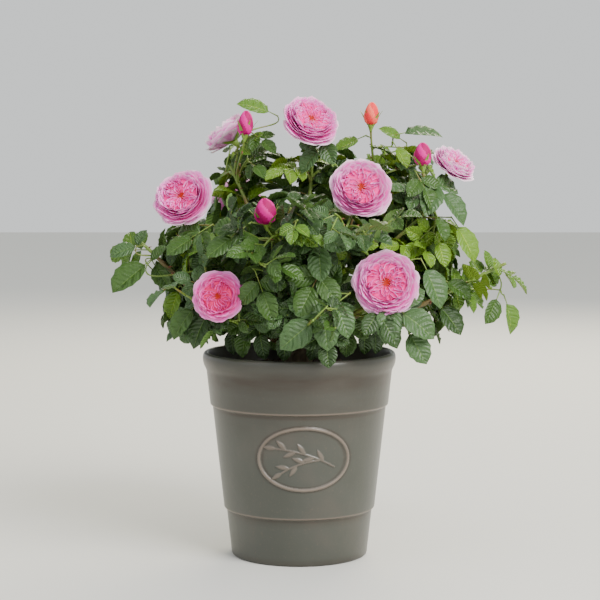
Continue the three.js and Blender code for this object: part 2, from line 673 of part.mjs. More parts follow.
// A mass: its stem, a shoot to each bloom and bud, leafy shoots to fill its space, and leaves.
function massBody(mass, index) {
  const draw = seeded(index + 1);
  const solids = [twig(mass.stemCurve, STEM)];
  const shoots = [mass.stemCurve];
  mass.taken = pointsAlong(mass.stemCurve, SAMPLE_STEP);
  const open = { ...mass, top: Infinity };
  const addShoot = ([first, step], turn, end, looking) => {
    const t = first + step * turn;
    const curve = shootCurve(mass.stemCurve, t, end, looking);
    const tests = pointsAlong(curve, SAMPLE_STEP).slice(2);
    if (!tests.every((point) => mayGrow(open, point, SHOOT.foot))) return false;
    solids.push(twig(curve, SHOOT));
    shoots.push(curve);
    mass.taken.push(...pointsAlong(curve, SAMPLE_STEP));
    return true;
  };
  mass.blooms.forEach((bloom, i) => {
    const end = bloom.centre.clone().addScaledVector(bloom.facing, -CALYX_DEPTH * bloom.radius);
    if (addShoot(FORK.bloom, i, end, bloom.facing)) solids.push(...bloomSolids(bloom));
  });
  mass.buds.forEach((bud, i) => {
    const looking = vector(bud.tip).sub(vector(bud.foot)).normalize();
    if (addShoot(FORK.bud, i, vector(bud.foot), looking)) solids.push(...budSolids(bud));
  });
  mass.clearLeaves.forEach(({ fork, foot, tip, leaflets }) => {
    const end = vector(foot);
    const looking = vector(tip).sub(end).normalize();
    if (!addShoot([fork, 0], 0, end, looking)) return;
    const scale = vector(tip).distanceTo(end) / LEAF_LENGTH;
    solids.push(...(leaf(open, end, looking, leafUp(end, looking), leaflets, scale) ?? []));
  });
  shootEnds(mass, draw).forEach(({ direction, end }, i) => {
    addShoot(FORK.leafy, i / mass.shoots, end, direction);
  });
  shoots.forEach((curve) => solids.push(...leavesAlong(mass, curve, draw)));
  return fuse(solids);
}

for (const bloom of BLOOMS) {
  bloom.centre = vector(bloom.centre);
  bloom.facing = vector(bloom.facing).normalize();
}
for (const mass of MASSES) {
  mass.blooms = BLOOMS.filter((bloom) => bloom.mass === mass.name);
  mass.buds = BUDS.filter((bud) => bud.mass === mass.name);
  mass.clearLeaves = CLEAR_LEAVES.filter((clear) => clear.mass === mass.name);
}

const rose = new THREE.Group();
rose.add(mesh("pot", pot, paint.glaze));
rose.add(mesh("soil", soil, paint.soil));
rose.add(mesh("trunk", stock, paint.bark));
MASSES.forEach((mass, index) => {
  rose.add(mesh(`cane_${mass.name}`, caneBody(mass), paint.bark));
  rose.add(mesh(`foliage_${mass.name}`, massBody(mass, index), paint.foliage));
});

export default rose;
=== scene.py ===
"""A shrub rose in a glazed stoneware pot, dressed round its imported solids.

The script follows the plant as it is put together: the room, the pot, the compost, the woody
stock and canes, the green shoots with their leaves, and last the flowers and buds. Sizes are
in millimetres, and turn into metres where a mesh is made. Every surface is a formula in two
parameters, worked out over whole arrays.
"""

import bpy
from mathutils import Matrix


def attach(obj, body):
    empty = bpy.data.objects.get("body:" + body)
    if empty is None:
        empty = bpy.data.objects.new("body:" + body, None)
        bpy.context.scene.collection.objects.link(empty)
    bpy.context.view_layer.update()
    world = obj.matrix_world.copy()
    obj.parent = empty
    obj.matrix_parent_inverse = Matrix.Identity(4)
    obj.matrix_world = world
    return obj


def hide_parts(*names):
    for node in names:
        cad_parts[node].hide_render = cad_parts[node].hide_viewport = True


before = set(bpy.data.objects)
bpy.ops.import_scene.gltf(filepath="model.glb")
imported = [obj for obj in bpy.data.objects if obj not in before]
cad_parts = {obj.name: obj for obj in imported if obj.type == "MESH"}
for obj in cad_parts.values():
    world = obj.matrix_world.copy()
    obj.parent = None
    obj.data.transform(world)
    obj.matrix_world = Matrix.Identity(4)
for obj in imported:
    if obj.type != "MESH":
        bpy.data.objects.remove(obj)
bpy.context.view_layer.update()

import math

import bpy
import numpy as np
from mathutils import Vector


# Room: the camera stands two metres from the pot, level with the upper leaves, and looks down
# a little. A pale floor and wide soft lamps stand for a bright day under thin cloud.
FOCAL_LENGTH = 105.84
SENSOR_WIDTH = 36
CAMERA_PLACE = (0.0008, -2.012, 0.463)
CAMERA_DROP = math.radians(4.845)  # how far it looks down
PLANT_MIDDLE = Vector((0, 0, 0.3))

scene = bpy.context.scene
camera = bpy.data.objects.new("camera", bpy.data.cameras.new("camera"))
camera.data.sensor_width = SENSOR_WIDTH
camera.data.lens = FOCAL_LENGTH
camera.location = CAMERA_PLACE
camera.rotation_euler = (math.pi / 2 - CAMERA_DROP, 0, 0)
scene.collection.objects.link(camera)
scene.camera = camera


def linear(colour):
    """Turns an sRGB hex value to linear red, green and blue, with an alpha of one."""
    part = np.array([int(colour[i:i + 2], 16) for i in (1, 3, 5)]) / 255
    part = np.where(part <= 0.04045, part / 12.92, ((part + 0.055) / 1.055) ** 2.4)
    return (*map(float, part), 1.0)


def put(tree, kind, inputs=(), **settings):
    """Adds a shader node, sets its settings, and gives each input a value or a link."""
    made = tree.nodes.new("ShaderNode" + kind)
    for name, value in settings.items():
        setattr(made, name, value)
    for name, value in dict(inputs).items():
        if isinstance(value, bpy.types.NodeSocket):
            tree.links.new(value, made.inputs[name])
        else:
            made.inputs[name].default_value = value
    return made


def start_material(name, **values):
    """A new material with these values on its shader: its tree, shader and object space."""
    made = bpy.data.materials.new(name)
    made.use_nodes = True
    tree = made.node_tree
    shader = tree.nodes["Principled BSDF"]
    for socket, value in values.items():
        shader.inputs[socket.replace("_", " ")].default_value = value
    return made, tree, shader, put(tree, "TexCoord").outputs["Object"]


def add_lamp(name, place, side, watts, colour):
    """A soft square lamp, its place and side in metres, turned to the middle of the plant."""
    lamp = bpy.data.lights.new(name, "AREA")
    lamp.size = side
    lamp.energy = watts
    lamp.color = linear(colour)[:3]
    holder = bpy.data.objects.new(name, lamp)
    holder.location = place
    holder.rotation_euler = (PLANT_MIDDLE - Vector(place)).to_track_quat("-Z", "Y").to_euler()
    scene.collection.objects.link(holder)


add_lamp("sky_right", (1.5, -1.7, 2.1), 1.6, 126, "#fdfbf8")
add_lamp("sky_left", (-1.9, -1.2, 1.6), 1.8, 6, "#eef4ff")
add_lamp("sky_behind", (0.6, 2.2, 1.9), 1.6, 75, "#fff6dc")

sky = bpy.data.worlds.new("thin_cloud")
sky.use_nodes = True
sky.node_tree.nodes["Background"].inputs["Color"].default_value = linear("#eef1f1")
sky.node_tree.nodes["Background"].inputs["Strength"].default_value = 1.05
scene.world = sky

FLOOR_SIDE = 16.0
floor_mesh = bpy.data.meshes.new("floor")
half = FLOOR_SIDE / 2
floor_mesh.from_pydata(
    [(-half, -half, 0), (half, -half, 0), (half, half, 0), (-half, half, 0)], [], [(0, 1, 2, 3)])
floor = bpy.data.objects.new("floor", floor_mesh)
scene.collection.objects.link(floor)
# Pale matt paint, which gives the eye nothing but the plant's soft shadow.
pale_paint, tree, shader, place = start_material(
    "pale_matt_paint", Base_Color=linear("#d9d8d2"), Roughness=0.9)
floor_mesh.materials.append(pale_paint)


# Pot: a thrown stoneware pot in a sage grey glaze, with two steps round its wall, a rolled lip
# and an oval medal of a leafy sprig pressed on its front. It stands on its own flat foot.
MM = 0.001
POT_HEIGHT = 234
FOOT_RADIUS = 77.9
WALL_SLOPE = 0.11
LOWER_STEP = (53, 2.7)  # height up the wall, and how far the wall above stands out
UPPER_STEP = (172, 2.4)
STEP_LENGTH = 2.5
INSIDE_FLOOR = 72.5
INSIDE_NECK = 98.5
NECK_HEIGHT = 210  # under the roll of the lip
LIP_RADIUS = 110.5
MEDAL_HEIGHT = 124
MEDAL_TURN = math.radians(3.2)
MEDAL_HALF = (51.5, 35)
MEDAL_FIELD = (60, 40)  # half the width and height of the patch of wall that the medal lies in
MEDAL_SINK = 0.35  # how far the ground inside the bead is pressed in
BEAD_RADIUS = 2.0
SPRIG_STEMS = [  # from, bend and to, right of and above the medal's middle; leaves; first leaf
    ((34, -9), (4, 9), (-31, 12), 6, 0.2),
    ((16, -1), (-6, -3), (-24, -15), 4, 0.35),
]
SPRIG_STEM_RADIUS = 1.3
SPRIG_LEAF = (16, 6)
SPRIG_LEAF_RISE = 1.9
SPRIG_LEAF_ANGLE = 0.62
SPRIG_RIB = 0.5  # depth and half width of the groove along a leaf
FINE_ARC = math.radians(37)  # half the arc of the front that has close columns, for the medal
# The steps' shoulders are lighter, as glaze run thin and as a painted highlight line along each
# step.
THIN_AND_HIGHLIGHT_BANDS = [(LOWER_STEP[0] + 2.2, 1.1, 1), (UPPER_STEP[0] + 2.2, 1.1, 1)]
# Brown bands: glaze pooled under the lip and below both steps, with painted shade there too; the
# bands at 178 and 222 mm are the crown's painted shadow on the upper wall, and the last darkens the
# foot.
POOLED_AND_SHADED_BANDS = [  # height, half width and depth of the brown
    (NECK_HEIGHT - 2, 9, 0.95), (LOWER_STEP[0] - 1.5, 1.8, 0.9), (UPPER_STEP[0] - 1.5, 1.8, 0.9),
    (178, 30, 0.42), (222, 12, 0.4), (2, 4, 0.5)]
# The inside wall, from under the mouth down, is painted dark brown: painted shade inside the pot.
SHADED_INSIDE_RINGS = 25  # the last rings of the profile, down the inside


def closed_rings(rings):
    """Points and faces of rings (n, sides, 3) joined in order, with a fan closing each end.

    A face row holds four point numbers, and a triangle has -1 for its fourth.
    """
    count, sides = rings.shape[:2]
    points = np.concatenate([rings.reshape(-1, 3), rings[[0, -1]].mean(axis=1)])
    ring, side = np.meshgrid(np.arange(count - 1), np.arange(sides), indexing="ij")
    after = (side + 1) % sides
    low, high = ring * sides, (ring + 1) * sides
    wall = np.stack([low + side, low + after, high + after, high + side], -1).reshape(-1, 4)
    one, other = np.arange(sides), (np.arange(sides) + 1) % sides
    none = np.full(sides, -1)
    last = (count - 1) * sides
    foot = np.stack([np.full(sides, count * sides), other, one, none], -1)
    head = np.stack([np.full(sides, count * sides + 1), last + one, last + other, none], -1)
    return points, np.concatenate([wall, foot, head])


def joined(parts):
    """Several surfaces as one: points end to end, and face numbers moved on to match."""
    starts = np.cumsum([0] + [len(points) for points, _ in parts[:-1]])
    faces = [np.where(rows < 0, rows, rows + start) for (_, rows), start in zip(parts, starts)]
    return np.concatenate([points for points, _ in parts]), np.concatenate(faces)


def make_piece(name, points, faces, materials, tones=None, rim=None, marks=None):
    """A smooth mesh object from points in millimetres.

    tones gives each face's material, rim the points whose edges stay sharp, and marks are
    point attributes by name.
    """
    mesh = bpy.data.meshes.new(name)
    mesh.vertices.add(len(points))
    mesh.vertices.foreach_set("co", (points * MM).astype(np.float32).ravel())
    corners = faces[faces >= 0].astype(np.int32)
    sizes = np.sum(faces >= 0, axis=1)
    mesh.loops.add(len(corners))
    mesh.loops.foreach_set("vertex_index", corners)
    mesh.polygons.add(len(faces))
    mesh.polygons.foreach_set("loop_start", (np.cumsum(sizes) - sizes).astype(np.int32))
    if tones is not None:
        mesh.polygons.foreach_set("material_index", tones.astype(np.int32))
    mesh.update(calc_edges=True)
    mesh.shade_smooth()
    if rim is not None:
        ends = np.empty(len(mesh.edges) * 2, np.int32)
        mesh.edges.foreach_get("vertices", ends)
        sharp = mesh.attributes.new("sharp_edge", "BOOLEAN", "EDGE")
        sharp.data.foreach_set("value", rim[ends.reshape(-1, 2)].all(axis=1))
    for mark, values in (marks or {}).items():
        mesh.attributes.new(mark, "FLOAT", "POINT").data.foreach_set(
            "value", values.astype(np.float32))
    for material in materials:
        mesh.materials.append(material)
    piece = bpy.data.objects.new(name, mesh)
    scene.collection.objects.link(piece)
    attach(piece, "root")
    return piece


def smooth_line(corners, count):
    """A centripetal Catmull-Rom curve through the corners, at count even steps of its parameter.

    Each span is a cubic whose end slopes come from the corners on both sides of it.
    """
    corners = np.asarray(corners, float)
    ends = (2 * corners[0] - corners[1], 2 * corners[-1] - corners[-2])
    padded = np.vstack([ends[0], corners, ends[1]])
    place = np.linspace(0, len(corners) - 1, count)
    span = np.minimum(place.astype(int), len(corners) - 2)
    t = (place - span)[:, None]
    a, b, c, d = (padded[span + i] for i in range(4))
    before, within, after = (
        np.sqrt(np.linalg.norm(q - p, axis=1, keepdims=True)) for p, q in ((a, b), (b, c), (c, d)))
    leave = ((b - a) / before - (c - a) / (before + within) + (c - b) / within) * within
    arrive = ((c - b) / within - (d - b) / (within + after) + (d - c) / after) * within
    return (b + leave * t + (3 * (c - b) - 2 * leave - arrive) * t ** 2
            + (2 * (b - c) + leave + arrive) * t ** 3)


def wall_radius(height):
    """The wall leans out evenly, and steps out twice over a short length, as 3t^2 - 2t^3."""
    radius = FOOT_RADIUS + WALL_SLOPE * height
    for start, rise in (LOWER_STEP, UPPER_STEP):
        part = np.clip((height - start) / STEP_LENGTH, 0, 1)
        radius = radius + rise * part ** 2 * (3 - 2 * part)
    return radius


def medal_relief(right, above):
    """How proud the medal stands at places right of and above its middle.

    A round bead follows the ellipse, stems are round ridges along quadratic curves, and each
    leaf is a lens, highest along its rib, that points along its stem or a fixed angle off it.
    """
    across, up = MEDAL_HALF
    ratio = np.hypot(right / across, above / up)
    slope = np.hypot(right / across ** 2, above / up ** 2) / np.maximum(ratio, 1e-6)
    off = (ratio - 1) / np.maximum(slope, 1e-6)
    relief = BEAD_RADIUS * np.sqrt(np.clip(1 - (off / BEAD_RADIUS) ** 2, 0, 1))
    relief = np.maximum(relief, np.where(ratio < 1, -MEDAL_SINK, 0))
    for start, bend, end, leaves, first in SPRIG_STEMS:
        start, bend, end = (np.array(p, float) for p in (start, bend, end))
        t = np.linspace(0, 1, 40)[:, None]
        line = start * (1 - t) ** 2 + bend * 2 * t * (1 - t) + end * t ** 2
        gap = np.min([np.hypot(right - x, above - y) for x, y in line], axis=0)
        ridge = np.sqrt(np.clip(1 - (gap / SPRIG_STEM_RADIUS) ** 2, 0, 1))
        relief = np.maximum(relief, SPRIG_STEM_RADIUS * ridge - MEDAL_SINK * (ridge == 0))
        for i in range(leaves):
            at = first + (1 - first) * i / (leaves - 1)
            foot = start * (1 - at) ** 2 + bend * 2 * at * (1 - at) + end * at ** 2
            run = 2 * (1 - at) * (bend - start) + 2 * at * (end - bend)
            side = 0 if i == leaves - 1 else (1 if i % 2 else -1)
            angle = math.atan2(run[1], run[0]) + side * SPRIG_LEAF_ANGLE
            length, width = SPRIG_LEAF
            reach = (right - foot[0]) * math.cos(angle) + (above - foot[1]) * math.sin(angle)
            aside = (above - foot[1]) * math.cos(angle) - (right - foot[0]) * math.sin(angle)
            edge = width / 2 * np.sin(math.pi * np.clip(reach / length, 0, 1) ** 0.85)
            lens = np.clip(1 - np.abs(aside) / np.maximum(edge, 1e-6), 0, 1)
            groove = SPRIG_RIB * np.exp(-(aside / SPRIG_RIB) ** 2)
            relief = np.maximum(relief, SPRIG_LEAF_RISE * lens ** 0.6 - groove * (lens > 0))
    return relief


def bands_round(height, bands):
    """Soft bands round the pot: each adds a bell curve of its height, half width and depth."""
    return sum(deep * np.exp(-((height - at) / wide) ** 2) for at, wide, deep in bands)


columns = np.concatenate([
    np.linspace(-FINE_ARC, FINE_ARC, 172)[:-1],
    np.linspace(FINE_ARC, 2 * math.pi - FINE_ARC, 97)[:-1]])
turns = MEDAL_TURN + columns
wall_heights = np.concatenate([
    [0.5, 1.2], np.linspace(2.5, 50, 8), np.linspace(51, 58, 15), np.linspace(61, 84, 6),
    np.linspace(85, 163, 112), np.linspace(166, 177, 23), np.linspace(180, 206, 7)])
lip_curve = smooth_line([
    (105.9, 208), (106.7, 213.5), (109.3, 219.5), (LIP_RADIUS, 224.5), (110.4, 229.5),
    (109.2, 232.7), (107, POT_HEIGHT), (104.7, 233.2), (103.6, 230.6), (102.6, 226),
    (100.6, 217), (INSIDE_NECK, 208)], 64)
outer = np.stack([wall_radius(wall_heights), wall_heights], -1)
outer[:2, 0] -= (0.9, 0.25)  # the rounded edge of the foot
inside = [(INSIDE_NECK - 1.6, 196), (INSIDE_FLOOR + 3, 16), (INSIDE_FLOOR, 10)]
profile = np.concatenate([[(FOOT_RADIUS - 1.6, 0)], outer, lip_curve, inside])
radius, height = np.broadcast_arrays(profile[:, :1], profile[:, 1:] + 0 * columns)
right = columns * radius
right = np.where(columns > math.pi, (columns - 2 * math.pi) * radius, right)
above = height - MEDAL_HEIGHT
in_field = (np.abs(right) < MEDAL_FIELD[0]) & (np.abs(above) < MEDAL_FIELD[1])
relief = np.where(in_field, medal_relief(right, above), 0)
rings = np.stack([
    (radius + relief) * np.sin(turns), -(radius + relief) * np.cos(turns), height], -1)
# The glaze runs thin over what stands proud: the relief and the steps' shoulders, where the lighter
# line is also a painted highlight.
thin_and_highlight = np.clip(np.clip(relief, 0, 2) / 2.2 + 0.85 * bands_round(height, THIN_AND_HIGHLIGHT_BANDS), 0, 1)
# It pools brown where it ran down to an edge: under the lip, below both steps, and along both
# sides of the medal's bead, where the darkening is also painted shade. Two broad bands over the
# upper wall are the crown's painted shadow, and one band darkens the foot.
edge = np.hypot(right / MEDAL_HALF[0], above / MEDAL_HALF[1])
beside_bead = np.exp(-((np.abs(edge - 1) - 0.075) / 0.03) ** 2) * in_field * (relief < 0.3)
pools_and_shade = bands_round(height, POOLED_AND_SHADED_BANDS) + 0.7 * beside_bead
# Inside, from under the mouth down, the wall is painted dark brown as the shade in the pot.
pools_and_shade[-SHADED_INSIDE_RINGS:] = 1
points, faces = closed_rings(rings)

# Stoneware under a satin feldspar glaze, dipped and fired: a soft grey-green with warm flecks of
# iron, which breaks to pinkish clay where it is thin, lighter along the steps as a painted
# highlight.
# The eye sees a soft sheen and faint ripples. Its clouds are 70 mm across and its ripples 8 mm.
# The flecks are 2.4 mm, drawn coarse to show, and the brown pools and painted shade are broken
# every 36 mm round the pot.
glaze, tree, shader, place = start_material(
    "satin_stoneware_glaze", Roughness=0.36, IOR=1.5, Coat_Weight=0.15, Coat_Roughness=0.3)
cloud = put(tree, "TexNoise", {"Vector": place, "Scale": 14.0, "Detail": 3.0})
fleck = put(tree, "TexNoise", {"Vector": place, "Scale": 420.0, "Detail": 2.0})
ripple = put(tree, "TexNoise", {"Vector": place, "Scale": 120.0, "Detail": 3.0})
body = put(tree, "Mix", {0: cloud.outputs[0], 6: linear("#383a31"), 7: linear("#4a4b45")},
           data_type="RGBA")
iron = put(tree, "MapRange", {0: fleck.outputs[0], 1: 0.62, 2: 0.72, 3: 0.0, 4: 0.35})
flecked = put(tree, "Mix", {0: iron.outputs[0], 6: body.outputs[2], 7: linear("#5c5044")},
              data_type="RGBA")
# Brown of pooled glaze, and painted shade under the lip and steps, inside the pot and as the
# crown's shadow.
pooled_and_shaded = put(tree, "Attribute", attribute_name="pooled_glaze_and_shade")
level = put(tree, "Mapping", {"Vector": place, "Scale": (1.0, 1.0, 6.0)})
streak = put(tree, "TexNoise", {"Vector": level.outputs[0], "Scale": 28.0, "Detail": 3.0})
run = put(tree, "MapRange", {0: streak.outputs[0], 1: 0.3, 2: 0.7, 3: 0.6, 4: 1.0})
brown = put(tree, "Math", {0: pooled_and_shaded.outputs["Fac"], 1: run.outputs[0]}, operation="MULTIPLY")
browned = put(tree, "Mix", {0: brown.outputs[0], 6: flecked.outputs[2], 7: linear("#33291f")},
              data_type="RGBA")
# Lighter where the glaze is thin, and as a painted highlight line on the steps' shoulders.
thinness_and_highlight = put(tree, "Attribute", attribute_name="thin_glaze_and_highlight")
patchy = put(tree, "Math", {0: thinness_and_highlight.outputs["Fac"], 1: 0.75}, operation="MULTIPLY")
broken_and_highlit = put(tree, "Mix", {0: patchy.outputs[0], 6: browned.outputs[2], 7: linear("#857568")},
             data_type="RGBA")
warm = put(tree, "MapRange", {0: cloud.outputs[0], 1: 0.56, 2: 0.74, 3: 0.0, 4: 0.3})
glazed = put(tree, "Mix", {0: warm.outputs[0], 6: broken_and_highlit.outputs[2], 7: linear("#574a41")},
             data_type="RGBA")
bump = put(tree, "Bump", {"Height": ripple.outputs[0], "Strength": 0.25, "Distance": 0.0006})
tree.links.new(glazed.outputs[2], shader.inputs["Base Color"])
tree.links.new(bump.outputs[0], shader.inputs["Normal"])

pot = make_piece("pot_glazed", points, faces, [glaze],
                 marks={"thin_glaze_and_highlight": np.append(thin_and_highlight.ravel(), [0, 0]),
                        "pooled_glaze_and_shade": np.append(np.clip(pools_and_shade, 0, 1).ravel(), [0, 0])})
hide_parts("pot")


# Compost: dark peat-free mix that fills the pot to a finger's width below the crest, uneven
# where it was watered, with crumbs of bark lying loose on top.
SOIL_TOP = 216
SOIL_RADIUS = INSIDE_NECK - 0.6
SOIL_SINK = (84, 14, 2.5)  # where it starts to drop, over what width, and how far at the wall
CRUMBS = 700
CRUMB_REACH = 93


def uneven(x, y, waves, seed):
    """A heap of sine waves of random direction, each a little finer and lower than the last."""
    chance = np.random.default_rng(seed)
    total = np.zeros_like(x)
    for i in range(waves):
        turn, phase = chance.random(2) * 2 * math.pi
        pace = 0.05 * 1.28 ** i
        total = total + np.sin(pace * (x * math.cos(turn) + y * math.sin(turn)) + phase) / (i + 2)
    return total


def sunk(out):
    """How far the compost has drawn down at a distance from the middle: evenly to the wall."""
    start, width, depth = SOIL_SINK
    return depth * np.clip((out - start) / width, 0, 1)


turn = np.linspace(0, 2 * math.pi, 97)[:-1]
out, angle = np.meshgrid(np.linspace(SOIL_RADIUS, 2, 44), turn, indexing="ij")
x, y = out * np.cos(angle), out * np.sin(angle)
top = SOIL_TOP - 1.8 + 1.5 * np.clip(uneven(x, y, 14, 3), -1.2, 1.2) - sunk(out)
plug = [(INSIDE_FLOOR - 0.6, 10.3), (SOIL_RADIUS, 207)]
sides = [np.stack([r * np.cos(turn), r * np.sin(turn), 0 * turn + z], -1) for r, z in plug]
points, faces = closed_rings(np.concatenate([sides, np.stack([x, y, top], -1)]))

# Composted bark and coir, sieved: nearly black when moist, without shine, in 4 mm fibres.
compost, tree, shader, place = start_material("moist_compost", Roughness=0.95)
grain = put(tree, "TexNoise", {"Vector": place, "Scale": 260.0, "Detail": 6.0})
earth = put(tree, "Mix", {0: grain.outputs[0], 6: linear("#17110d"), 7: linear("#3d3126")},
            data_type="RGBA")
bump = put(tree, "Bump", {"Height": grain.outputs[0], "Strength": 0.9, "Distance": 0.002})
tree.links.new(earth.outputs[2], shader.inputs["Base Color"])
tree.links.new(bump.outputs[0], shader.inputs["Normal"])
# Loose chips of pine bark, with a 1.5 mm grain, and a shade lighter where they have dried.
chips, tree, shader, place = start_material("dry_bark_chips", Roughness=0.9)
grain = put(tree, "TexNoise", {"Vector": place, "Scale": 700.0, "Detail": 3.0})
flakes = put(tree, "Mix", {0: grain.outputs[0], 6: linear("#2a1f17"), 7: linear("#59483a")},
             data_type="RGBA")
tree.links.new(flakes.outputs[2], shader.inputs["Base Color"])

soil = make_piece("compost", points, faces, [compost])
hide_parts("soil")

chance = np.random.default_rng(11)
far = CRUMB_REACH * np.sqrt(chance.random(CRUMBS))
around = 2 * math.pi * chance.random(CRUMBS)
sizes = 1.0 + 2.6 * chance.random(CRUMBS) ** 3
tilt, side = np.meshgrid([-0.8, -0.2, 0.5], np.arange(5) * 2 * math.pi / 5, indexing="ij")
lump = np.stack([np.cos(side + tilt) * np.cos(tilt), np.sin(side + tilt) * np.cos(tilt),
                 0.7 * tilt], -1)
crumbs = []
for out, angle, size in zip(far, around, sizes):
    rough = lump * (0.7 + 0.6 * chance.random((3, 5, 1)))
    shape = rough * size * (1, 0.6 + 0.4 * chance.random(), 1)
    ground = SOIL_TOP - 1.2 - sunk(out)
    crumbs.append(closed_rings(shape + (out * math.cos(angle), out * math.sin(angle), ground)))
points, faces = joined(crumbs)
loose = make_piece("compost_crumbs", points, faces, [chips])
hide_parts("soil")


# Stock and canes: the short woody base at the graft, and one cane from it to each mass of
# leaves. Canes are round young wood with rings at the old leaf scars, and hooked prickles.
GAP = 0.3  # between the compost and the stock
STOCK_SIDES = 48
STOCK = dict(height=32, foot=17, waist=12, head=17, lean=(3, -2), lobes=5, lobe_depth=0.35)
CANE = (2.7, 2.1)  # radii at the foot and the tip
CANE_SIDES = 12
CANE_SCARS = (34, 0.5)  # how far apart the leaf scars are, and how far the cane swells there
CANE_PRICKLES = (13, 5.5)  # how far apart they are, and how long
# Where canes start: how far up the stock and off its middle, and how far out and up they set off.
SIDE = dict(height=0.42, radius=2, out=26, up=16)
RING = dict(height=0.72, radius=11, out=9, up=26)
MIDDLE = dict(height=0.72, radius=0, out=0, up=30)
WAY_STEPS = 400
ENTRY_DEPTH = 5  # so deep in its mass's space a cane turns into a green stem
LINE_STEP = 2.5
STEM_ENDS = {"front_right": 0.6}  # a stem that stops short of its mass's heart, behind its bloom


def mass(heart, reach, top, shoots, turn, start, tip=None, fresh_and_backlit=0.15):
    """One mass of foliage: its heart, reach and highest leaf, its number of leafy shoots, the
    turn and place where its cane starts, the tip of its stem, and its share of young,
    painted-backlit sprays."""
    return dict(heart=np.array(heart, float), reach=reach, top=top, shoots=shoots, turn=turn,
                start=start, tip=np.array(tip or heart, float), fresh_and_backlit=fresh_and_backlit)


MASSES = {
    "top": mass((15, 35, 445), 92, 466, 5, 97, RING, fresh_and_backlit=0.45),
    "upper_left": mass((-80, 45, 445), 96, 476, 4, 170, RING, fresh_and_backlit=0.45),
    "upper_right": mass((95, 45, 445), 92, 470, 5, 30, RING, fresh_and_backlit=0.45),
    "right_high": mass((158, -5, 405), 88, 438, 6, 355, RING, fresh_and_backlit=0.35),
    "left_high": mass((-135, -30, 372), 88, 382, 8, 208, RING, fresh_and_backlit=0.3),
    "front_left": mass((-25, -92, 375), 88, 420, 15, 250, RING, fresh_and_backlit=0.08),
    "front_right": mass((62, -95, 402), 88, 430, 12, 300, RING, fresh_and_backlit=0.08),
    "low_left": mass((-90, -105, 285), 96, 400, 20, 228, SIDE, fresh_and_backlit=0.05),
    "low_front": mass((5, -118, 275), 86, 400, 22, 270, SIDE, fresh_and_backlit=0.0),
    "low_right": mass((100, -108, 308), 96, 400, 20, 312, SIDE, fresh_and_backlit=0.05),
    "left_arm": mass((-192, -18, 334), 52, 400, 0, 190, SIDE, (-181, -20, 362), fresh_and_backlit=0.3),
    "right_arm": mass((206, -22, 306), 62, 350, 0, 350, SIDE, (234, -20, 336), fresh_and_backlit=0.7),
    "left_low": mass((-140, 48, 300), 84, 400, 12, 152, SIDE, fresh_and_backlit=0.3),
    "right_low": mass((138, 48, 305), 84, 400, 12, 28, SIDE, fresh_and_backlit=0.3),
    "back_left": mass((-82, 132, 372), 92, 455, 11, 132, RING, fresh_and_backlit=0.3),
    "back_right": mass((84, 136, 372), 92, 455, 11, 65, RING, fresh_and_backlit=0.3),
    "back_low": mass((0, 128, 280), 92, 400, 18, 90, SIDE, fresh_and_backlit=0.15),
    "core": mass((0, 18, 345), 80, 420, 18, 0, MIDDLE, fresh_and_backlit=0.2),
}
FOLIAGE_NODES = [f"foliage_{name}" for name in MASSES]
CANE_NODES = [f"cane_{name}" for name in MASSES]


def unit(arrows):
    """Arrows of length one in the same directions."""
    return arrows / np.maximum(np.linalg.norm(arrows, axis=-1, keepdims=True), 1e-9)


def even_steps(line, count):
    """A line's points again, evenly spaced along its length."""
    steps = np.linalg.norm(np.diff(line, axis=0), axis=1)
    run = np.concatenate([[0], np.cumsum(steps)])
    at = np.linspace(0, run[-1], count)
    return np.stack([np.interp(at, run, line[:, axis]) for axis in range(3)], -1)


def length_of(line):
    """The length of a line of points."""
    return np.linalg.norm(np.diff(line, axis=0), axis=1).sum()


def tube_rings(line, radii, sides):
    """Rings round a line: each lies square to it, with a radius per ring or per ring and side."""
    run = unit(np.gradient(line, axis=0))
    least = np.argmin(np.abs(run.mean(axis=0)))
    one = unit(np.cross(run, np.eye(3)[least]))
    other = np.cross(run, one)
    angle = np.arange(sides) * 2 * math.pi / sides
    radii = np.broadcast_to(np.reshape(radii, (len(line), -1)), (len(line), sides))[..., None]
    spoke = one[:, None] * np.cos(angle)[:, None] + other[:, None] * np.sin(angle)[:, None]
    return line[:, None] + radii * spoke


def stock_line(t):
    """A quadratic curve from the soil that starts upright and then leans."""
    t = np.reshape(t, (-1, 1))
    foot = np.array([0, 0, SOIL_TOP + GAP])
    head = foot + (*STOCK["lean"], STOCK["height"])
    bend = (foot + (0, 0, head[2])) / 2
    return foot * (1 - t) ** 2 + bend * 2 * t * (1 - t) + head * t ** 2


def depth_inside(name, points, over=0):
    """How deep points lie in a mass's own space: its reach, cut halfway to every other heart,
    or so far over that border."""
    heart = MASSES[name]["heart"]
    depth = MASSES[name]["reach"] - np.linalg.norm(points - heart, axis=-1)
    for other in MASSES.values():
        away = other["heart"] - heart
        if away.any():
            middle = heart + away / 2
            depth = np.minimum(depth, (middle - points) @ away / np.linalg.norm(away) + over)
    return depth


def cane_way(one):
    """From the stock to the mass: out of the wood, up, and over to the mass's own tip."""
    angle = math.radians(one["turn"])
    out = np.array([math.cos(angle), math.sin(angle), 0])
    start = one["start"]
    foot = stock_line(start["height"])[0] + out * start["radius"]
    first = foot + out * start["out"] + (0, 0, start["up"])
    middle = foot + 0.6 * (one["heart"] - foot) + (0, 0, 0.08 * (one["heart"][2] - foot[2]))
    return smooth_line([foot, first, middle, one["tip"]], WAY_STEPS + 1)


def evenly_drawn(line):
    """A line with its points about one step apart, and at least eight of them."""
    return even_steps(line, max(8, int(length_of(line) / LINE_STEP)))


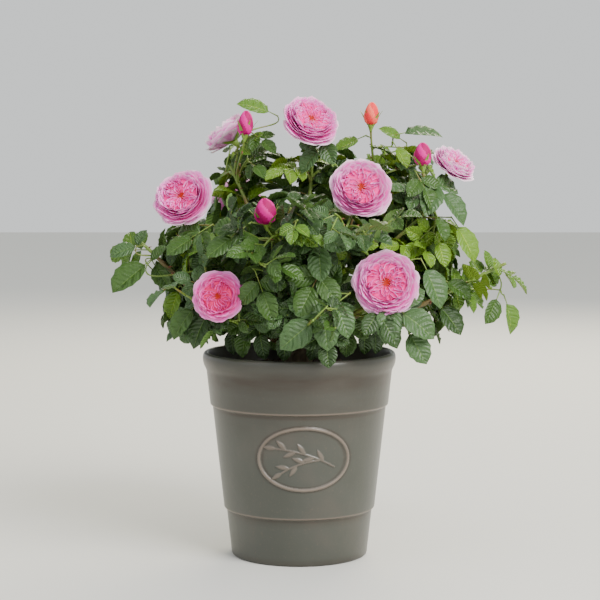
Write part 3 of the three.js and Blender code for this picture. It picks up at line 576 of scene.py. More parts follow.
for name, one in MASSES.items():
    way = cane_way(one)
    end = int(np.argmax(depth_inside(name, way) > ENTRY_DEPTH))
    stop = end + int((WAY_STEPS - end) * STEM_ENDS.get(name, 1)) + 1
    one["cane"] = evenly_drawn(way[:end + 1])
    one["stem"] = evenly_drawn(way[end:stop])
limbs = np.concatenate([one["cane"] for one in MASSES.values()])

# The stock's radius: lobes that flare out at the foot as (1 - t)^3, a head that swells as a
# squared sine and is rounded off at its end, and two sets of fine waves round it as ridges.
chance = np.random.default_rng(5)
t = np.linspace(0, 1, 34)[:, None]
angle = np.arange(STOCK_SIDES) * 2 * math.pi / STOCK_SIDES
flare = (STOCK["foot"] - STOCK["waist"]) * (1 - t) ** 3
swell = (STOCK["head"] - STOCK["waist"]) * np.sin(math.pi / 2 * np.minimum(1, 1.25 * t)) ** 2
wood = STOCK["waist"] + flare * (1 + STOCK["lobe_depth"] * np.cos(STOCK["lobes"] * angle)) + swell
wood = wood - 5 * np.clip((t - 0.9) / 0.1, 0, 1) ** 2
wood = wood + 0.7 * np.sin(11 * angle + 4 * np.sin(5 * t)) + 0.4 * np.sin(23 * angle - 9 * t)
points, faces = closed_rings(tube_rings(stock_line(t), wood, STOCK_SIDES))

# Rose wood at the base: grey-brown cork over green, split into upright plates 3 mm wide.
old_bark, tree, shader, place = start_material("corky_rose_bark", Roughness=0.85)
upright = put(tree, "Mapping", {"Vector": place, "Scale": (1.0, 1.0, 0.25)})
cork = put(tree, "TexNoise", {"Vector": upright.outputs[0], "Scale": 320.0, "Detail": 5.0})
bark_colour = put(tree, "Mix", {0: cork.outputs[0], 6: linear("#3c3226"), 7: linear("#7d6f58")},
                  data_type="RGBA")
bump = put(tree, "Bump", {"Height": cork.outputs[0], "Strength": 0.8, "Distance": 0.001})
tree.links.new(bark_colour.outputs[2], shader.inputs["Base Color"])
tree.links.new(bump.outputs[0], shader.inputs["Normal"])
# One- and two-year canes: smooth green skin with reddish brown patches, 17 mm across, and a
# grain of 1 mm that dulls its shine.
young_bark, tree, shader, place = start_material("green_cane_skin", Roughness=0.5)
blush = put(tree, "TexNoise", {"Vector": place, "Scale": 60.0, "Detail": 4.0})
skin = put(tree, "Mix", {0: blush.outputs[0], 6: linear("#4c5a26"), 7: linear("#7a5a3a")},
           data_type="RGBA")
fine = put(tree, "TexNoise", {"Vector": place, "Scale": 900.0, "Detail": 2.0})
bump = put(tree, "Bump", {"Height": fine.outputs[0], "Strength": 0.4, "Distance": 0.0003})
tree.links.new(skin.outputs[2], shader.inputs["Base Color"])
tree.links.new(bump.outputs[0], shader.inputs["Normal"])

stock = make_piece("stock_bark", points, faces, [old_bark])
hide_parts("trunk")


def knuckled(line, foot, tip, every, swelling):
    """Radii that taper from foot to tip and swell in a bell curve at each old leaf scar."""
    along = np.linspace(0, 1, len(line))
    phase = along * length_of(line) / every
    return foot + (tip - foot) * along + swelling * np.exp(-((phase % 1 - 0.5) * 7) ** 2)


def prickles(line, radius, every, size, chance):
    """Hooked prickles at random turns round a stem: four-sided cones that lean down it."""
    spots = np.arange(every, length_of(line) - every / 2, every)
    made = []
    for spot in spots * (0.9 + 0.2 * chance.random(len(spots))):
        index = min(int(spot / length_of(line) * (len(line) - 1)), len(line) - 2)
        run = unit(line[index + 1] - line[index])
        arrow = chance.normal(size=3)
        out = unit(arrow - run * (arrow @ run))
        foot = line[index] + out * radius * 0.7
        spine = np.array([foot, foot + out * size * 0.5 - run * size * 0.1,
                          foot + out * size - run * size * 0.45])
        made.append(closed_rings(tube_rings(spine, size * np.array([0.3, 0.15, 0.02]), 4)))
    return made


canes, hooks = [], []
ribs = 1 + 0.05 * np.sin(5 * np.arange(CANE_SIDES) * math.pi / 3)
for one in MASSES.values():
    line = one["cane"]
    radii = knuckled(line, *CANE, *CANE_SCARS)[:, None] * ribs
    canes.append(closed_rings(tube_rings(line, radii, CANE_SIDES)))
    hooks += prickles(line, CANE[1], *CANE_PRICKLES, chance)
points, faces = joined(canes)
cane_piece = make_piece("cane_bark", points, faces, [young_bark])
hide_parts(*CANE_NODES)
# Prickles are horny outgrowths of the skin, red-brown and glassy while young.
prickle_skin, tree, shader, place = start_material(
    "red_prickle_skin", Base_Color=linear("#7e4a36"), Roughness=0.35)
points, faces = joined(hooks)
thorns = make_piece("cane_prickles", points, faces, [prickle_skin])
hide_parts(*CANE_NODES)


# Flowers and buds, placed here because shoots grow to them: full rosettes of the shrub rose,
# each at the end of its own shoot, with a middle, the way it looks, its radius and its tint.
BLOOMS = [  # mass, middle, facing, radius, how many tones paler than the type, inner redness
    ("top", (14, 0, 499), (0.3, -0.7, 0.62), 35, 0, 0),
    ("left_high", (-132, -35, 412), (-0.3, -0.8, 0.5), 36, 0, 0),
    ("front_right", (68, -75, 423), (0.05, -0.9, 0.38), 36, 0, 0),
    ("low_right", (94, -112, 321), (0, -0.95, 0.28), 38, 0, 0),
    ("low_left", (-88, -113, 306), (-0.05, -0.98, 0.1), 29, -1, 1),
    ("upper_left", (-84, 45, 485), (-0.6, 0.1, 0.78), 33, 1, 0),
    ("right_high", (178, 5, 450), (0.48, -0.42, 0.77), 28, 1, 0),
    ("back_left", (-78, 152, 402), (-0.35, 0.8, 0.48), 35, 0, 0),
    ("back_right", (98, 160, 390), (0.35, 0.82, 0.42), 36, 0, 0),
    ("back_low", (14, 166, 306), (0.05, 0.95, 0.3), 34, 0, 0),
]
CALYX_DEPTH = 0.46  # how far below a bloom's middle its calyx lies, in bloom radii
BUDS = [  # mass, foot, tip, radius, colour
    ("upper_left", (-62, 0, 480), (-60, -1, 507), 9, "pink"),
    ("front_left", (-36, -85, 383), (-38, -89, 410), 12, "pink"),
    ("upper_right", (82, 15, 492), (83, 13, 517), 8.5, "coral"),
    ("right_high", (139, -25, 446), (138, -27, 471), 10, "pink"),
    ("back_right", (30, 170, 404), (28, 176, 430), 10, "pink"),
]
bloom_middles = np.array([middle for _, middle, *_ in BLOOMS], float)
bloom_faces = unit(np.array([facing for _, _, facing, *_ in BLOOMS], float))
bloom_radii = np.array([radius for _, _, _, radius, *_ in BLOOMS], float)

# Shoots and leaves: each cane runs on in its mass as a green stem, from which shoots curve to its
# flowers, and twigs to the leaves that are seen whole. Leafy shoots and side twigs fill the rest
# of its space. What would leave the space, touch a neighbour or hide a bloom is skipped.
STEM = (2.2, 1.6)  # radii at the foot and the tip
SHOOT = (1.5, 1.1)
TWIG = (1.0, 0.7)
SHOOT_SIDES = 7
SHOOT_SCARS = (26, 0.25)
SHOOT_PRICKLES = (17, 4.0)
SHOOT_BEND = (0.3, 0.35)  # how far its first and last handles reach, as shares of its span
FORK = dict(bloom=(0.8, -0.25), bud=(0.65, -0.2), leafy=(0.3, 0.65))  # place up the stem, step
SHOOT_REACH = 0.8  # a leafy shoot's end, as a share of the room there is
SHOOT_OUTWARDS = 0.55  # how much shoots turn away from the crown's middle
TWIG_PLACES = (0.3, 0.55, 0.8)
TWIG_LENGTH = (22, 20)  # the least, and how much more it may be
BARE_FROM = 0.45  # how far up a flowering shoot its last leaf stands
CROWN_MIDDLE = np.array([5, 5, 300])
CROWN_SIDES = [(385, -112, 172), (0, -165, 192)]  # above this height, the least and most X
ARMS = ("left_arm", "right_arm")  # long shoots that reach out past the crown's sides
LOWEST_LEAF = 243
GOLDEN_ANGLE = math.pi * (3 - math.sqrt(5))
MARGIN = 0.5  # to the border of a mass's space
CLEARANCE = 1.2  # to the pot, the compost and the canes
LEAF_OVER = 16  # how far a leaf may reach over the border to the next mass
LEAF_CELL = 3.5  # the side of the cells that keep leaves apart
LEAF_ROOT = 6  # so near its foot a leaf may share cells with its neighbours
LEAF_ANGLE = math.radians(58)  # between a shoot and its leaves
LEAF_LIFT = 0.35
LEAF_TWIST = 0.35  # how much a leaf's upper side looks astray
LEAF_ROOM = 0.6
LEAF_SCALE = (0.82, 0.2)  # the least, and how much more it may be
LEAF_EVERY = 12  # length of shoot for one leaf
TRIES = 9
SHRINK = 0.045  # how much smaller a leaf gets at each try
END_LEAFLETS = 3  # of a shoot's end leaf, and of one that only fits after several tries
STALKS = {1: 10, 3: 28, 5: 44}  # the length of a leaf's stalk, by the number of its leaflets
LEAFLET = (37, 27)
PAIR = dict(first=12, step=16, angle=math.radians(62), turn=math.radians(12), size=0.92, less=0.08)
STALK_SAG = 0.002
LEAF_SAG = 0.12  # how far a limp leaf falls, off its rib and ahead along each leaflet
# The last two greens are young growth, and also painted as light shining through leaves at the
# outside and top of the crown.
DEEP, MIDDLING, GREYISH, LEAFY, FRESH_AND_BACKLIT = range(5)
SHOWN_LEAVES = [  # mass, foot and tip of the end leaflet, leaflets, green
    ("upper_left", (-34, 22, 507), (-67, 14, 523), 1, LEAFY),
    ("upper_left", (-43, 10, 475), (-28, -2, 464), 3, MIDDLING),
    ("upper_left", (-60, 20, 472), (-43, 10, 483), 3, LEAFY),
    ("top", (21, 10, 464), (1, 0, 441), 3, GREYISH),
    ("upper_right", (69, 30, 477), (41, 20, 465), 1, LEAFY),
    ("upper_right", (117, 25, 476), (94, 22, 491), 1, LEAFY),
    ("upper_right", (120, 25, 483), (159, 20, 491), 1, GREYISH),
    ("upper_right", (111, 15, 467), (125, 5, 445), 1, FRESH_AND_BACKLIT),
    ("right_high", (140, -30, 422), (153, -40, 398), 3, MIDDLING),
    ("right_high", (162, -20, 415), (191, -30, 386), 3, GREYISH),
    ("right_high", (179, -15, 378), (203, -25, 343), 1, FRESH_AND_BACKLIT),
    ("right_high", (157, -20, 361), (166, -28, 333), 1, FRESH_AND_BACKLIT),
    ("right_high", (155, -30, 389), (165, -40, 363), 1, MIDDLING),
    ("low_right", (139, -80, 334), (159, -92, 296), 1, GREYISH),
    ("low_right", (111, -115, 289), (148, -125, 266), 3, GREYISH),
    ("low_right", (90, -120, 281), (107, -130, 256), 3, DEEP),
    ("low_right", (119, -110, 266), (139, -118, 233), 1, GREYISH),
    ("right_arm", (166, -30, 316), (194, -40, 300), 1, MIDDLING),
    ("right_arm", (160, -30, 287), (185, -42, 260), 1, DEEP),
    ("right_arm", (223, -30, 297), (212, -40, 271), 1, MIDDLING),
    ("right_arm", (235, -20, 291), (247, -22, 259), 1, LEAFY),
    ("right_arm", (227, -20, 320), (221, -22, 341), 1, FRESH_AND_BACKLIT),
    ("left_arm", (-184, -25, 355), (-213, -32, 350), 1, GREYISH),
    ("left_arm", (-183, -25, 356), (-176, -25, 375), 1, GREYISH),
    ("left_arm", (-173, -28, 336), (-208, -42, 308), 1, MIDDLING),
    ("left_high", (-119, -50, 367), (-148, -62, 349), 3, MIDDLING),
    ("left_high", (-167, -30, 339), (-150, -32, 357), 1, MIDDLING),
    ("left_low", (-165, -10, 334), (-150, -20, 309), 1, MIDDLING),
    ("left_low", (-139, 0, 304), (-150, -8, 273), 1, FRESH_AND_BACKLIT),
    ("low_left", (-117, -80, 290), (-140, -92, 263), 1, MIDDLING),
    ("low_left", (-102, -85, 283), (-119, -95, 253), 3, DEEP),
    ("front_left", (-73, -100, 370), (-100, -112, 350), 3, MIDDLING),
    ("front_left", (21, -112, 361), (23, -128, 325), 3, GREYISH),
    ("low_front", (15, -120, 318), (-2, -134, 286), 3, MIDDLING),
    ("low_front", (-40, -118, 313), (-29, -130, 284), 3, MIDDLING),
    ("low_front", (14, -130, 280), (-20, -142, 255), 5, GREYISH),
    ("low_front", (29, -122, 258), (32, -130, 230), 3, DEEP),
    ("low_left", (-76, -34, 262), (-78, -44, 236), 3, DEEP),
    ("low_left", (-60, -58, 264), (-64, -66, 236), 3, MIDDLING),
    ("low_left", (-44, -70, 262), (-40, -80, 237), 3, DEEP),
    ("low_front", (-14, -78, 262), (-18, -88, 236), 3, DEEP),
    ("low_front", (20, -76, 260), (14, -86, 236), 3, DEEP),
    ("low_right", (54, -66, 264), (52, -76, 236), 3, MIDDLING),
    ("low_right", (72, -50, 264), (76, -54, 237), 3, DEEP),
    ("low_right", (86, -32, 262), (88, -38, 236), 3, DEEP),
]
EYE = np.array(CAMERA_PLACE) / MM
SEEN_STEMS = ("top", "upper_left", "upper_right", "right_high")  # bare in the loose upper crown
SEEN_FLOWERS = (7, 4)  # so many of the blooms and of the buds face the viewer
STEM_VIEW = (4.5, 4.0)  # half the strip that is kept open before a flowering shoot, and a stem
taken = set()
seen = []  # the middle and radius of each thing that the viewer sees whole


def cells(points):
    """The cells of space that points lie in."""
    return set(map(tuple, np.floor(points / LEAF_CELL).astype(int).tolist()))


def clear_of_pot(points, clear):
    """True above the pot, or in its mouth above the compost. Outside it nothing hangs lower
    than its crest."""
    out = np.hypot(points[:, 0], points[:, 1])
    floor = np.where(out < INSIDE_NECK - clear - 2, SOIL_TOP + clear,
                     np.where(out < LIP_RADIUS + clear, POT_HEIGHT + clear, LOWEST_LEAF))
    return points[:, 2] > floor


def may_grow(name, points, radius, over=0):
    """True for points where a twig of this radius stays in its space and clear of limbs."""
    one = MASSES[name]
    good = points[:, 2] < one["top"]
    good &= depth_inside(name, points, over) > MARGIN + radius
    good &= clear_of_pot(points, CLEARANCE + radius)
    for above, least, most in CROWN_SIDES if name not in ARMS else ():
        good &= (points[:, 2] < above) | ((points[:, 0] > least) & (points[:, 0] < most))
    near = limbs[np.linalg.norm(limbs - one["heart"], axis=1) < one["reach"] + 10]
    if len(near) and good.all():
        gaps = np.linalg.norm(points[:, None] - near, axis=2).min(axis=1)
        good &= gaps > CANE[0] + radius + CLEARANCE
    return good


def hides_bloom(points):
    """True if any point is in a bloom or in the open space before its face, or stands between
    the viewer's eye and something that is seen whole."""
    ahead = bloom_middles + bloom_faces * bloom_radii[:, None] * 0.7
    for middles, share in ((bloom_middles, 1.0), (ahead, 0.95)):
        gaps = np.linalg.norm(points[:, None] - middles, axis=2)
        if (gaps < bloom_radii * share).any():
            return True
    middles = np.array([middle for middle, _ in seen])
    radii = np.array([radius for _, radius in seen])
    sight = unit(EYE - middles)
    gaps = points[:, None] - middles
    nearer = (gaps * sight).sum(axis=2)
    off = np.linalg.norm(gaps - nearer[..., None] * sight, axis=2)
    return bool(((nearer > 0) & (off < radii)).any())


def leaf_pattern(count):
    """A leaf laid flat: its leaflets, as how far up the stalk, turn off it and size, and places
    spread over them, along the stalk and to its left."""
    leaflets = [(STALKS[count], 0.0, 1.0)]
    for i in range(count // 2):
        at = STALKS[count] - PAIR["first"] - PAIR["step"] * i
        angle = PAIR["angle"] + PAIR["turn"] * i
        size = PAIR["size"] - PAIR["less"] * i
        leaflets += [(at, angle, size), (at, -angle, size)]
    spots = []
    for at, angle, size in leaflets:
        run = np.array([0.15, 0.32, 0.32, 0.32, 0.55, 0.55, 0.55, 0.78, 0.78, 0.97])
        off = np.array([0, -0.85, 0, 0.85, -0.95, 0, 0.95, -0.6, 0.6, 0])
        run, off = run * LEAFLET[0] * size, off * LEAFLET[1] / 2 * size
        spots.append(np.stack([at + run * math.cos(angle) - off * math.sin(angle),
                               run * math.sin(angle) + off * math.cos(angle)], -1))
    return np.concatenate(spots), leaflets


LEAF_PATTERNS = {count: leaf_pattern(count) for count in STALKS}


def on_leaf(leaf, along, aside):
    """Places on a leaf laid out from its foot, falling away along its length and off its rib.

    A leaf is its foot, run, upper side, number of leaflets, scale, green and limpness.
    """
    foot, run, up, _, scale, _, limp = leaf
    across = np.cross(up, run)
    along, aside = np.reshape(along, (-1, 1)), np.reshape(aside, (-1, 1))
    fall = limp * (STALK_SAG * along * along + LEAF_SAG * np.abs(aside))
    return foot + scale * (run * along + across * aside - np.array([0, 0, 1]) * fall)


def leaf_up(foot, run, lift):
    """Where a leaf's upper side looks: outwards from the crown's middle, and as lift says."""
    up = unit(foot - CROWN_MIDDLE) + lift
    return unit(up - run * (up @ run))


def leaf_fits(name, leaf):
    """True if a leaf stays in its space and clear of limbs, blooms and what has grown."""
    spots = on_leaf(leaf, *LEAF_PATTERNS[leaf[3]][0].T)
    outer = spots[np.linalg.norm(spots - leaf[0], axis=1) > LEAF_ROOT]
    mine = cells(outer)
    grows = may_grow(name, outer, LEAF_ROOM, LEAF_OVER).all()
    if mine & taken or not grows or hides_bloom(outer):
        return False
    taken.update(mine)
    return True


def shoot_curve(stem, t, end, looking):
    """A cubic curve that leaves its stem half turned to its end and arrives looking that way."""
    at = t * (len(stem) - 1)
    low = min(int(at), len(stem) - 2)
    foot = stem[low] + (stem[low + 1] - stem[low]) * (at - low)
    reach = np.linalg.norm(end - foot)
    start = unit(unit(end - foot) + unit(stem[low + 1] - stem[low]))
    first = foot + start * reach * SHOOT_BEND[0]
    last = end - looking * reach * SHOOT_BEND[1]
    t = np.linspace(0, 1, 41)[:, None]
    curve = (foot * (1 - t) ** 3 + first * 3 * t * (1 - t) ** 2
             + last * 3 * t ** 2 * (1 - t) + end * t ** 3)
    return even_steps(curve, max(6, int(reach / 3)))


def fork_for(lines, end):
    """The line that passes nearest to a place, at a point below it, and how far up that is."""
    gaps = [np.linalg.norm(line - end, axis=1) + 2 * np.maximum(0, line[:, 2] - end[2] + 5)
            for line in lines]
    best = int(np.argmin([gap.min() for gap in gaps]))
    return lines[best], np.argmin(gaps[best]) / (len(lines[best]) - 1)


def leaves_along(name, line, tone, chance, until=1.0):
    """Leaves up a shoot, each a golden angle on from the last, the end one with three leaflets,
    and how many of the line's points they need.

    A leaf that doesn't fit is tried again, a golden angle on and a little smaller each time.
    """
    made, needed = [], 0
    count = max(1, round(length_of(line) * until / LEAF_EVERY))
    phase = chance.random() * 2 * math.pi
    for i in range(count):
        at = min(int((i + 0.95) / count * until * (len(line) - 1)), len(line) - 2)
        foot, run = line[at], unit(line[at + 1] - line[at])
        side = unit(np.cross(run, (1, 0, 0)))
        other = np.cross(run, side)
        last = i == count - 1 and until == 1
        for tried in range(TRIES):
            turn = phase + (i + tried) * GOLDEN_ANGLE
            angle = LEAF_ANGLE * (0.5 if last else 0.8 + 0.4 * chance.random())
            along = run * math.cos(angle) + math.sin(angle) * (
                side * math.cos(turn) + other * math.sin(turn))
            up = leaf_up(foot, along, (0, 0, LEAF_LIFT)) + LEAF_TWIST * chance.normal(size=3)
            up = unit(up - along * (up @ along))
            scale = (LEAF_SCALE[0] + LEAF_SCALE[1] * chance.random()) * (1 - SHRINK * tried)
            leaflets = END_LEAFLETS if last or tried > 4 else 5
            leaf = (foot, along, up, leaflets, scale, tone, 1.0)
            if leaf_fits(name, leaf):
                made.append(leaf)
                needed = at + 2
                break
    return made, needed


def spray_tone(one, chance):
    """The green of a whole spray: young sprays are yellow-green, partly painted backlight, others
    dark or greyish.
    """
    if chance.random() < one["fresh_and_backlit"]:
        return FRESH_AND_BACKLIT if chance.random() < 0.35 else LEAFY
    return (DEEP, DEEP, MIDDLING, GREYISH)[int(chance.random() * 4)]


def room_from(name, direction):
    """How far it is from a mass's heart to the edge of its space."""
    rooms = np.arange(4, MASSES[name]["reach"], 4)
    spots = MASSES[name]["heart"] + rooms[:, None] * direction
    shut = [not may_grow(name, spot[None], 0)[0] for spot in spots]
    return rooms[np.argmax(shut)] if any(shut) else MASSES[name]["reach"]


def begin(name):
    """A mass's stem, with its shoots to blooms and buds and the leaves that are seen whole."""
    one = MASSES[name]
    one["stems"], one["leaves"] = [(one["stem"], STEM)], []
    ends = []
    for turn, i in enumerate(i for i, bloom in enumerate(BLOOMS) if bloom[0] == name):
        end = bloom_middles[i] - bloom_faces[i] * CALYX_DEPTH * bloom_radii[i]
        ends.append((FORK["bloom"], turn, end, bloom_faces[i], i < SEEN_FLOWERS[0]))
    for turn, i in enumerate(i for i, bud in enumerate(BUDS) if bud[0] == name):
        foot, tip = (np.array(end, float) for end in BUDS[i][1:3])
        ends.append((FORK["bud"], turn, foot, unit(tip - foot), i < SEEN_FLOWERS[1]))
    one["flowering"] = []
    for (first, step), turn, end, looking, shown in ends:
        curve = shoot_curve(one["stem"], first + step * turn, end, looking)
        one["flowering"].append(curve)
        one["stems"].append((curve, SHOOT))
        if shown:
            seen.extend((spot, STEM_VIEW[0]) for spot in curve[int(len(curve) * 0.3)::3])
    if name in SEEN_STEMS:
        seen.extend((spot, STEM_VIEW[1]) for spot in one["stem"][len(one["stem"]) // 3::3])
    lines = [one["stem"], *one["flowering"]]
    for _, base, tip, count, tone in (shown for shown in SHOWN_LEAVES if shown[0] == name):
        base, tip = np.array(base, float), np.array(tip, float)
        run, scale = unit(tip - base), np.linalg.norm(tip - base) / LEAFLET[0]
        foot = base - run * STALKS[count] * scale
        leaf = (foot, run, leaf_up(foot, run, (0, -1.2, 0.7)), count, scale, tone, 0.0)
        twig = shoot_curve(*fork_for(lines, foot - run * 3), foot, unit(run + (0, 0, 0.8)))
        lines.append(twig)
        one["stems"].append((twig, TWIG))
        one["leaves"].append(leaf)
        taken.update(cells(on_leaf(leaf, *LEAF_PATTERNS[count][0].T)))
        seen.append(((base + tip) / 2, 0.36 * LEAFLET[0] * scale))
    for line in lines:
        taken.update(cells(line[3:]))


def fill(name, index):
    """Leafy shoots and side twigs all through a mass's space, each cut where its leaves end."""
    one = MASSES[name]
    chance = np.random.default_rng(index + 1)
    one["leaves"] += leaves_along(name, one["stem"], spray_tone(one, chance), chance)[0]
    for line in one["flowering"]:
        one["leaves"] += leaves_along(name, line, spray_tone(one, chance), chance, BARE_FROM)[0]
    out = unit(one["heart"] - CROWN_MIDDLE)
    phase = chance.random() * 2 * math.pi
    for i in range(one["shoots"]):
        z = 1 - (2 * i + 1) / one["shoots"]
        turn = phase + i * GOLDEN_ANGLE
        level = math.sqrt(1 - z * z)
        direction = unit(np.array([level * math.cos(turn), level * math.sin(turn), z])
                         + out * SHOOT_OUTWARDS)
        end = one["heart"] + direction * SHOOT_REACH * room_from(name, direction)
        first, step = FORK["leafy"]
        shoot = shoot_curve(one["stem"], first + step * i / one["shoots"], end, direction)
        tone = spray_tone(one, chance)
        if not may_grow(name, shoot[3:], SHOOT[0]).all() or hides_bloom(shoot[3:]):
            continue
        leaves, needed = leaves_along(name, shoot, tone, chance)
        one["leaves"] += leaves
        for share in TWIG_PLACES:
            at = min(int(share * (len(shoot) - 1)), len(shoot) - 2)
            run = unit(shoot[at + 1] - shoot[at])
            arrow = unit(np.cross(run, chance.normal(size=3)))
            length = TWIG_LENGTH[0] + TWIG_LENGTH[1] * chance.random()
            end = shoot[at] + (run * 0.5 + arrow) * length
            twig = even_steps(np.array([shoot[at], (shoot[at] + end) / 2 + run * 3, end]), 12)
            if may_grow(name, twig[2:], TWIG[0]).all() and not hides_bloom(twig[2:]):
                leaves, used = leaves_along(name, twig, tone, chance)
                if leaves:
                    one["leaves"] += leaves
                    one["stems"].append((twig[:used], TWIG))
                    needed = max(needed, at + 2)
        if needed > 2:
            one["stems"].append((shoot[:needed], SHOOT))


for name in MASSES:
    begin(name)
for _, middle, _, radius, *_ in BLOOMS[:SEEN_FLOWERS[0]]:
    seen.append((np.array(middle, float), radius * 1.05))
for _, foot, tip, radius, _ in BUDS[:SEEN_FLOWERS[1]]:
    seen.append((np.mean([foot, tip], axis=0), radius * 1.5))
for index, name in enumerate(MASSES):
    fill(name, index)

# Green shoots: round, smooth and a little waxy, with brown-red patches some 22 mm long.
green_skin, tree, shader, place = start_material("waxy_green_shoot", Roughness=0.42)
blush = put(tree, "TexNoise", {"Vector": place, "Scale": 45.0, "Detail": 3.0})
ruddy = put(tree, "MapRange", {0: blush.outputs[0], 1: 0.5, 2: 0.7, 3: 0.0, 4: 0.8})
skin = put(tree, "Mix", {0: ruddy.outputs[0], 6: linear("#6f8a35"), 7: linear("#7d5a38")},
           data_type="RGBA")
tree.links.new(skin.outputs[2], shader.inputs["Base Color"])

tubes, hooks = [], []
chance = np.random.default_rng(21)
for one in MASSES.values():
    for line, (foot, tip) in one["stems"]:
        radii = knuckled(line, foot, tip, *SHOOT_SCARS)
        tubes.append(closed_rings(tube_rings(line, radii, SHOOT_SIDES)))
        if foot > TWIG[0]:
            hooks += prickles(line, tip, *SHOOT_PRICKLES, chance)
points, faces = joined(tubes)
shoot_piece = make_piece("green_shoots", points, faces, [green_skin])
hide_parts(*FOLIAGE_NODES)
points, faces = joined(hooks)
thorns = make_piece("shoot_prickles", points, faces, [prickle_skin])
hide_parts(*FOLIAGE_NODES)


# Leaflets: broad ovate blades with a short tip, finely toothed edges, a rib in a groove and
# quilted veins. They are thin closed shells, dark above and paler below.
BLADE_THICKNESS = 0.9
RIB_HALF = 0.03
MID_BLADE = 0.52
COLUMNS = np.array([-1, -MID_BLADE, -RIB_HALF, RIB_HALF, MID_BLADE, 1])
ROWS = 8
NOTCH = 0.92  # the width that is left in the notch between two teeth
TOOTH_AHEAD = 0.02
QUILTING = 0.13  # how high the blade swells between its veins, as a share of its width
FOLD = (0.12, 0.4)  # the least, and how much more it may be, for the fold and for the curl
CURL = (0.04, 0.3)
STALK = (0.9, 0.5)  # radii at the foot and the tip
STALK_RINGS = 8
STALK_SIDES = 5


def leaflet_template():
    """A leaflet's points as (across, along, side) and its faces with a kind each.

    The foot and the tip are single points. Between them each row has six points on the upper
    side, of which the outermost are the rim, and one under the rib. Kinds are 0 for the blade,
    1 for the rib and 2 for the underside.
    """
    row, column = np.meshgrid(np.arange(1, ROWS + 1), np.arange(7), indexing="ij")
    across = np.where(column < 6, COLUMNS[np.minimum(column, 5)], 0)
    points = np.stack([across, row / (ROWS + 1), column == 6], -1).reshape(-1, 3)
    points = np.vstack([[0, 0, 0], [0, 1, 0], points])
    number = 2 + np.arange(ROWS * 7).reshape(ROWS, 7)
    top, under = number[:, :6], number[:, 6]
    low, high = top[:-1], top[1:]
    quads = np.stack([low[:, :-1], high[:, :-1], high[:, 1:], low[:, 1:]], -1).reshape(-1, 4)
    kinds = np.tile([0, 0, 1, 0, 0], ROWS - 1)
    left = np.stack([low[:, 0], under[:-1], under[1:], high[:, 0]], -1)
    right = np.stack([under[:-1], low[:, 5], high[:, 5], under[1:]], -1)
    foot = [[0, top[0, c], top[0, c + 1], -1] for c in range(5)]
    tip = [[top[-1, c], 1, top[-1, c + 1], -1] for c in range(5)]
    below = [[0, under[0], top[0, 0], -1], [0, top[0, 5], under[0], -1],
             [top[-1, 0], under[-1], 1, -1], [under[-1], top[-1, 5], 1, -1]]
    faces = np.concatenate([quads, left, right, foot, tip, below])
    kinds = np.concatenate([kinds, np.full(2 * (ROWS - 1), 2), [0, 0, 1, 0, 0] * 2, [2] * 4])
    rim = np.concatenate([[True, True], np.tile([1, 0, 0, 0, 0, 1, 0], ROWS).astype(bool)])
    return points, faces, kinds, rim


def leaflet_blades(feet, runs, ups, sizes, folds, curls):
    """All leaflets at once, as points (leaflets, template, 3).

    Half the width follows sin(pi v^0.84)^0.66, with every other row cut back a little between
    two teeth. The blade folds up from its rib, curls down along its length, and the rows rise
    and fall by turns as the quilting between its veins, which lean towards the tip.
    """
    across, along, below = LEAFLET_POINTS.T
    tooth = np.round(along * (ROWS + 1)) % 2
    width = np.sin(math.pi * along ** 0.84) ** 0.66
    edge = np.abs(across) == 1
    wide = width * across * np.where(edge & (tooth == 0), NOTCH, 1.0)
    teeth = np.where(edge, TOOTH_AHEAD * tooth, 0)
    ahead = along + teeth + 0.09 * np.abs(across) * (1 - along) * along
    quilt = np.where(np.abs(across) == MID_BLADE, QUILTING * tooth, 0)
    groove = 0.03 * (np.abs(across) <= RIB_HALF)
    length, half = sizes[:, :1], sizes[:, 1:] / 2
    y = wide * half
    x = ahead * length
    z = (folds * np.abs(y) * (1 - 0.3 * np.abs(across)) - curls * length * along ** 2
         + quilt * half * 2 - groove * length - below * BLADE_THICKNESS)
    sides = np.cross(ups, runs)
    return (feet[:, None] + x[..., None] * runs[:, None] + y[..., None] * sides[:, None]
            + z[..., None] * ups[:, None])


LEAFLET_POINTS, LEAFLET_FACES, LEAFLET_KINDS, LEAFLET_RIM = leaflet_template()


SIDE_VEINS = 8  # on each side of the rib
VEIN_LEAN = 0.24  # how far a side vein runs ahead by the time it meets the edge


